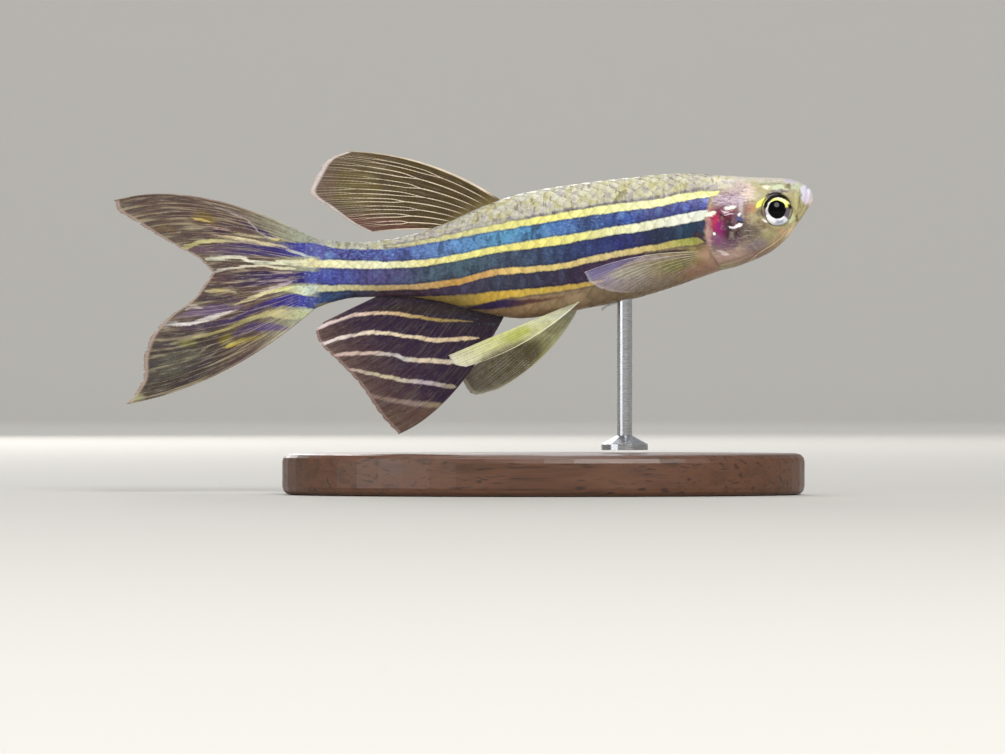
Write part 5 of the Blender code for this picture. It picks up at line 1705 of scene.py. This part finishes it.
def eye_material():
    """The iris, painted in arcs about the pupil, with the skin of the head around it."""
    material, wires, shader = new_material("danio_eye")
    spot, behind, up = side_view(wires)
    stray_behind, stray_up = strayed(wires, spot, (2.5, 0.12), (7.0, 0.07))
    dx = wires.less(EYE_BEHIND, stray_behind)
    dy = wires.less(stray_up, EYE_UP)
    flat = wires.add("ShaderNodeCombineXYZ", {0: dx, 1: dy}).outputs[0]
    reach = wires.vector("LENGTH", flat)
    turn = wires.math("DEGREES", wires.math("ARCTAN2", dy, dx))
    fibres = wires.noise(flat, 4.0, 3.0)
    threads = wires.math("SINE", wires.mad(fibres, 9.0, wires.times(turn, 0.8)))

    # The part that shows is a little lower and further forward than the pupil
    wide = wires.mad(dx, 1 / 1.0, -0.10)
    high = wires.mad(dy, 1 / 1.12, 0.09)
    open_reach = wires.math("SQRT", wires.mad(wide, wide, wires.times(high, high)))
    colour = linear(186, 184, 194)

    # Each arc is from one turn to another, in degrees up from the snout, between two radii
    arcs = (
        (-156.0, -28.0, 0.55, 1.20, (216, 220, 232)),
        (-150.0, -100.0, 0.62, 1.12, (250, 252, 252)),
        (-92.0, -58.0, 0.82, 1.00, (172, 170, 190)),
        (-80.0, -40.0, 0.55, 0.82, (250, 252, 254)),
        (-60.0, -36.0, 0.90, 1.15, (240, 242, 246)),
        (8.0, 134.0, 0.55, 1.00, (244, 242, 120)),
        (35.0, 100.0, 0.72, 0.90, (252, 250, 196)),
        (124.0, 180.0, 0.55, 0.80, (240, 236, 226)),
        (124.0, 180.0, 0.84, 1.10, (60, 50, 44)),
        (-180.0, -150.0, 0.55, 0.80, (206, 200, 214)),
        (-180.0, -152.0, 0.86, 1.10, (96, 84, 80)),
        (-42.0, 12.0, 0.60, 1.20, (104, 94, 102)),
        (-34.0, 4.0, 0.96, 1.16, (150, 142, 124)),
        (4.0, 24.0, 0.84, 1.10, (26, 22, 12)),
    )
    for start, end, inner, outer, rgb in arcs:
        ends = wires.times(wires.fade(turn, start - 6, start + 6), wires.fade(turn, end + 6, end - 6))
        ring = wires.math(
            "MULTIPLY", wires.fade(reach, inner - 0.04, inner + 0.04), wires.fade(reach, outer + 0.05, outer - 0.05)
        )
        colour = wires.mix(wires.times(ends, ring), colour, linear(*rgb))
    colour = wires.mix(wires.fade(threads, 0.2, 1.0, 0.0, 0.09), colour, linear(84, 76, 72))

    # Beyond the iris comes a dark rim of painted shade, black above where the eye lies in shadow, and then skin
    above = wires.times(wires.fade(turn, 22.0, 58.0), wires.fade(turn, 184.0, 165.0))
    rim = wires.mix(above, linear(104, 92, 66), linear(16, 12, 8))
    brow = wires.times(above, wires.fade(reach, 1.02, 1.08))
    fold = wires.mix(brow, head_colour(wires, spot), linear(122, 106, 118))
    rim_start = wires.mad(above, -0.12, 0.98)
    rim_end = wires.mad(above, 0.06, 1.04)
    past = wires.less(open_reach, rim_start)
    colour = wires.mix(wires.fade(past, -0.03, 0.03), colour, rim)
    past = wires.less(open_reach, rim_end)
    skin = wires.fade(past, -0.03, 0.05)
    colour = wires.mix(skin, colour, fold)
    colour = wires.mix(wires.fade(reach, 0.69, 0.64), colour, linear(2, 2, 3))
    wires.feed(shader.inputs["Base Color"], colour)
    bumpy = wires.times(threads, wires.fade(reach, 0.66, 0.72))
    values = {
        "Normal": wires.bump(bumpy, 0.15, 0.00002),
        "Roughness": wires.fade(reach, 0.64, 0.70, 0.08, 0.3),
        "Coat Weight": 0.15,
        "Specular IOR Level": 0.1,
        "Coat IOR": 1.33,
        "Coat Roughness": 0.03,
    }
    wires.dress(shader, values)
    return material


class DANIO_OT_eyes(bpy.types.Operator):
    """Turns the two eyeballs, each with a domed pupil in a dished iris"""

    bl_idname = "danio.eyes"
    bl_label = "Eyes"

    def execute(self, context):
        settings = context.scene.danio_eye
        material = eye_material()
        pupil, radius = settings.pupil, settings.radius
        front, dome = 0.46, 0.16
        curve = (pupil * pupil + dome * dome) / (2 * dome)
        middle = front + dome - curve
        turns = np.linspace(0.02, math.asin(pupil / curve), 18)
        profile = [(curve * math.sin(t), middle + curve * math.cos(t)) for t in turns]
        profile += [(pupil + 0.03, front - 0.035), (pupil + 0.09, front - 0.035), (pupil + 0.2, front - 0.05)]
        for t in np.linspace(0.80, 1.0, 8):
            profile.append((radius * t, 0.62 * math.sqrt(max(1.05 - t * t, 0.0)) - 0.02))
        profile += [(radius * 0.97, -0.2), (radius * 0.8, -0.45), (radius * 0.45, -0.62)]
        around = 72
        for side, sign in (("left", 1), ("right", -1)):
            spots = [(EYE_BEHIND, sign * (EYE_SIDE + front + dome), EYE_UP)]
            for reach, bulge in profile:
                for k in range(around):
                    turn = math.tau * k / around
                    behind, up = EYE_BEHIND + reach * math.cos(turn), EYE_UP + reach * math.sin(turn)
                    spots.append((behind, sign * (EYE_SIDE + bulge + eye_tilt(behind, up)), up))
            spots.append((EYE_BEHIND, sign * (EYE_SIDE - 0.66), EYE_UP))
            faces = grid_faces(len(profile), around, wrap=True, offset=1)
            last = 1 + (len(profile) - 1) * around
            for k in range(around):
                after = (k + 1) % around
                faces.append((0, 1 + after, 1 + k))
                faces.append((last + k, last + after, len(spots) - 1))
            item = face_outwards(mesh_object("eyeball_" + side, place(np.array(spots)), faces))
            item.data.materials.append(material)
            finish_piece(item, "eye", "eye_" + side)
        return {"FINISHED"}


BARBELS = (
    ("long", ((1.30, -1.45), (1.72, -1.90), (2.20, -2.70), (2.95, -3.30), (3.90, -3.85), (4.75, -4.45)), 0.06),
    ("short", ((0.92, 0.10), (0.98, -0.40), (1.10, -0.95), (1.36, -1.55)), 0.036),
)


class DANIO_OT_barbels(bpy.types.Operator):
    """Lays the two thin pairs of feelers along the cheeks"""

    bl_idname = "danio.barbels"
    bl_label = "Barbels"

    def execute(self, context):
        material, wires, shader = new_material("danio_barbel")
        spot, behind, up = side_view(wires)
        bands = wires.noise(spot, 3.0, 2.0)
        tint = wires.ramp(bands, [(0.3, linear(150, 128, 84)), (0.7, linear(214, 194, 156))])
        values = {
            "Base Color": tint,
            "Normal": wires.bump(bands, 0.2, 0.00003),
            "Roughness": 0.35,
        }
        wires.dress(shader, values)
        lines = []
        for name, path, radius in BARBELS:
            line = curve_through(path)
            share = np.linspace(0, 1, 34)
            for sign in (1, -1):
                spots = []
                for t in share:
                    behind, up = line(t)
                    spots.append(off_skin(float(behind), float(up), sign, -0.05 + 0.22 * t * t))
                radii = radius * (1 - 0.6 * share) * (1 - 0.08 * (np.arange(34) % 2))
                lines.append((place(np.array(spots)), radii, share, share))
        item = tubes_from("barbels", lines, material, 1.0, 8)
        finish_piece(item, "head_skin")
        return {"FINISHED"}


def build_fin(name, surface, rays, look, slot, nodes, stout=(0,), scallop=0.006, fray=0.006, scale=1.0, forks=(0.42, 0.72)):
    settings = bpy.context.scene.danio_fins
    prefix = name.replace("_right", "").replace("_left", "")
    materials = [bpy.data.materials.get(prefix + part) for part in ("_membrane", "_rays")]
    if None in materials:
        materials = fin_materials(prefix, look, rays)
    sheet = membrane(name, surface, rays, settings.root_thickness, settings.tip_thickness, scallop, fray)
    sheet.data.materials.append(materials[0])
    finish_piece(sheet, slot, *nodes)
    lines = ray_lines(surface, rays, settings.ray_radius * scale, stout, 0.23, forks)
    tubes = tubes_from(name + "_rays", lines, materials[1], 1.0, settings.ray_sides)
    finish_piece(tubes, slot, *nodes)


class DANIO_OT_median_fins(bpy.types.Operator):
    """Builds the dorsal, anal and tail fins, each a clear membrane on forked rays"""

    bl_idname = "danio.median_fins"
    bl_label = "Dorsal, anal and tail fins"

    def execute(self, context):
        build_fin("dorsal", DORSAL, 10, DORSAL_LOOK, "dorsal_fin", ["dorsal_fin"])
        build_fin("anal", ANAL, 15, ANAL_LOOK, "anal_fin", ["anal_fin"], scale=0.9)
        nodes = ["tail_fin_upper", "tail_fin_lower"]
        build_fin("tail", TAIL, 19, TAIL_LOOK, "tail_fin", nodes, stout=(0, 18), fray=0.012, forks=(0.35, 0.66))
        return {"FINISHED"}


class DANIO_OT_paired_fins(bpy.types.Operator):
    """Builds the pectoral and pelvic fins"""

    bl_idname = "danio.paired_fins"
    bl_label = "Pectoral and pelvic fins"

    def execute(self, context):
        fins = (
            ("pectoral_right", PECTORAL_RIGHT, 9, PECTORAL_LOOK, 0.34),
            ("pectoral_left", PECTORAL_LEFT, 9, PECTORAL_LOOK, 0.34),
            ("pelvic_right", PELVIC_RIGHT, 8, PELVIC_LOOK, 0.62),
            ("pelvic_left", PELVIC_LEFT, 8, PELVIC_LOOK, 0.62),
        )
        for name, surface, rays, look, scale in fins:
            kind, side = name.split("_")
            build_fin(name, surface, rays, look, "paired_fins", [f"{kind}_fin_{side}"], scale=scale)
        return {"FINISHED"}


class DANIO_OT_stand(bpy.types.Operator):
    """Gives the base its oiled wood and the rod its brushed steel"""

    bl_idname = "danio.stand"
    bl_label = "Stand"

    def execute(self, context):
        settings = context.scene.danio_stage
        repaint("stand_base", wood_material(tuple(settings.wood)))
        repaint("stand_rod", steel_material())
        return {"FINISHED"}


def repaint(node, material):
    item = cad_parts[node]
    if item.material_slots:
        for place_for in item.material_slots:
            place_for.material = material
    else:
        item.data.materials.append(material)


def wood_material(dark):
    material, wires, shader = new_material("stand_walnut")
    where = wires.add("ShaderNodeTexCoord").outputs["Object"]
    stretched = wires.add("ShaderNodeMapping", {"Vector": where, "Scale": (90.0, 900.0, 900.0)}).outputs[0]
    warp = wires.noise(stretched, 0.35, 3.0, 0.6, colour=True)
    bent = wires.vector("MULTIPLY_ADD", warp, (1.6, 1.6, 1.6), stretched)
    grain = wires.noise(bent, 1.0, 5.0, 0.65)
    pores = wires.noise(wires.vector("MULTIPLY", bent, (0.5, 4.0, 4.0)), 1.2, 2.0)
    tone = wires.ramp(grain, [(0.3, dark), (0.55, linear(98, 62, 40)), (0.75, linear(58, 34, 22))])
    tone = wires.mix(wires.fade(pores, 0.58, 0.68, 0.0, 0.7), tone, linear(34, 20, 13))
    values = {
        "Base Color": tone,
        "Roughness": wires.fade(grain, 0.3, 0.7, 0.30, 0.48),
        "Normal": wires.bump(pores, 0.25, 0.00004),
        "Coat Weight": 0.2,
        "Coat Roughness": 0.25,
    }
    wires.dress(shader, values)
    return material


def steel_material():
    material, wires, shader = new_material("stand_steel")
    where = wires.add("ShaderNodeTexCoord").outputs["Object"]
    stretched = wires.add("ShaderNodeMapping", {"Vector": where, "Scale": (900.0, 900.0, 9000.0)}).outputs[0]
    lines = wires.noise(stretched, 1.5, 2.0, 0.6)
    tone = wires.ramp(lines, [(0.3, linear(176, 178, 182)), (0.7, linear(192, 194, 198))])
    values = {
        "Base Color": tone,
        "Roughness": wires.fade(lines, 0.3, 0.7, 0.24, 0.32),
        "Normal": wires.bump(lines, 0.02, 0.00001),
        "Metallic": 1.0,
    }
    wires.dress(shader, values)
    return material


# Where the middle of the picture looks, in the fish's frame, and how wide the picture is there
VIEW_BEHIND = 22.58
VIEW_UP = -12.945
VIEW_WIDTH = 73.09
SENSOR = 36.0


def area_light(name, spot, aim, size, watts, colour=(1.0, 1.0, 1.0)):
    light = bpy.data.lights.new(name, "AREA")
    light.shape = "DISK"
    light.size = size
    light.energy = watts
    light.color = colour
    item = link(name, light)
    item.location = spot
    item.rotation_euler = (Vector(aim) - Vector(spot)).to_track_quat("-Z", "Y").to_euler()
    return item


class DANIO_OT_stage(bpy.types.Operator):
    """Sets the floor, the lights and the camera"""

    bl_idname = "danio.stage"
    bl_label = "Stage"

    def execute(self, context):
        settings = context.scene.danio_stage
        self.make_floor(tuple(settings.floor))
        self.light_backdrop(settings.key_watts * 1.5)
        aim = (SNOUT_X - VIEW_BEHIND * MM, 0.0, SNOUT_Z - 4 * MM)
        area_light("key", (aim[0] + 0.16, -0.42, 0.34), aim, 0.26, settings.key_watts, (1.0, 0.985, 0.96))
        area_light("fill", (aim[0] - 0.34, -0.34, 0.10), aim, 0.30, settings.key_watts * 0.34, (0.95, 0.98, 1.0))
        area_light("top", (aim[0], 0.10, 0.42), aim, 0.22, settings.key_watts * 0.25)
        area_light("rear", (aim[0] - 0.12, 0.42, 0.20), aim, 0.30, settings.key_watts * 0.40)
        self.make_world(context)
        self.make_camera(context, settings.distance)
        return {"FINISHED"}

    def make_floor(self, colour):
        """A round floor that sweeps up into a low wall on every side."""
        flat, bend, around = 0.85, 0.35, 96
        profile = [(flat * (i + 1) / 6, 0.0) for i in range(6)]
        for t in np.linspace(0, math.pi / 2, 20)[1:]:
            profile.append((flat + bend * math.sin(t), bend * (1 - math.cos(t))))
        points = []
        for reach, z in profile:
            for k in range(around):
                turn = math.tau * k / around
                points.append((reach * math.cos(turn), reach * math.sin(turn), z))
        faces = [tuple(reversed(face)) for face in grid_faces(len(profile), around, wrap=True)]
        faces.append(tuple(range(around)))
        item = mesh_object("floor", points, faces)
        material, wires, shader = new_material("floor_paper")
        where = wires.add("ShaderNodeTexCoord").outputs["Object"]
        fibre = wires.noise(where, 900.0, 3.0)
        values = {
            "Normal": wires.bump(fibre, 0.05, 0.0001),
            "Base Color": colour,
            "Roughness": 0.85,
        }
        wires.dress(shader, values)
        item.data.materials.append(material)

    def light_backdrop(self, watts):
        """Four lights above the fish's reach that face the wall all round."""
        for name, x, y in (("back", 0, 1), ("front", 0, -1), ("left", -1, 0), ("right", 1, 0)):
            area_light("wall_" + name, (x * 0.5, y * 0.5, 0.62), (x * 1.15, y * 1.15, 0.10), 0.4, watts)

    def make_world(self, context):
        world = bpy.data.worlds.new("studio")
        world.use_nodes = True
        background = world.node_tree.nodes["Background"]
        background.inputs["Color"].default_value = (0.93, 0.96, 1.0, 1.0)
        background.inputs["Strength"].default_value = 0.40
        context.scene.world = world
        context.scene.view_settings.view_transform = "Standard"

    def make_camera(self, context, distance):
        camera = bpy.data.cameras.new("camera")
        camera.sensor_width = SENSOR
        camera.lens = SENSOR * distance / (VIEW_WIDTH * MM)
        camera.clip_end = 10.0
        item = link("camera", camera)
        item.location = (SNOUT_X - VIEW_BEHIND * MM, -distance, SNOUT_Z + VIEW_UP * MM)
        item.rotation_euler = (math.pi / 2, 0.0, 0.0)
        context.scene.camera = item


OPERATORS = (
    DANIO_OT_stage,
    DANIO_OT_skin,
    DANIO_OT_scales,
    DANIO_OT_eyes,
    DANIO_OT_barbels,
    DANIO_OT_median_fins,
    DANIO_OT_paired_fins,
    DANIO_OT_stand,
)
SETTINGS = {
    "danio_skin": DanioSkinSettings,
    "danio_fins": DanioFinSettings,
    "danio_eye": DanioEyeSettings,
    "danio_stage": DanioStageSettings,
}


class DANIO_PT_panel(bpy.types.Panel):
    """Lists the pieces of the danio and their settings"""

    bl_idname = "DANIO_PT_panel"
    bl_label = "Zebra danio"
    bl_space_type = "VIEW_3D"
    bl_region_type = "UI"
    bl_category = "Danio"

    def draw(self, context):
        layout = self.layout
        for operator in OPERATORS:
            layout.operator(operator.bl_idname)
        for name in SETTINGS:
            group = getattr(context.scene, name)
            box = layout.box()
            for field in group.__annotations__:
                box.prop(group, field)


def register():
    for kind in (*SETTINGS.values(), *OPERATORS, DANIO_PT_panel):
        bpy.utils.register_class(kind)
    for name, kind in SETTINGS.items():
        setattr(bpy.types.Scene, name, bpy.props.PointerProperty(type=kind))


def unregister():
    for name in SETTINGS:
        delattr(bpy.types.Scene, name)
    for kind in (DANIO_PT_panel, *reversed(OPERATORS), *SETTINGS.values()):
        bpy.utils.unregister_class(kind)


def main():
    register()
    for operator in OPERATORS:
        group, name = operator.bl_idname.split(".")
        getattr(getattr(bpy.ops, group), name)()


if __name__ == "__main__":
    main()
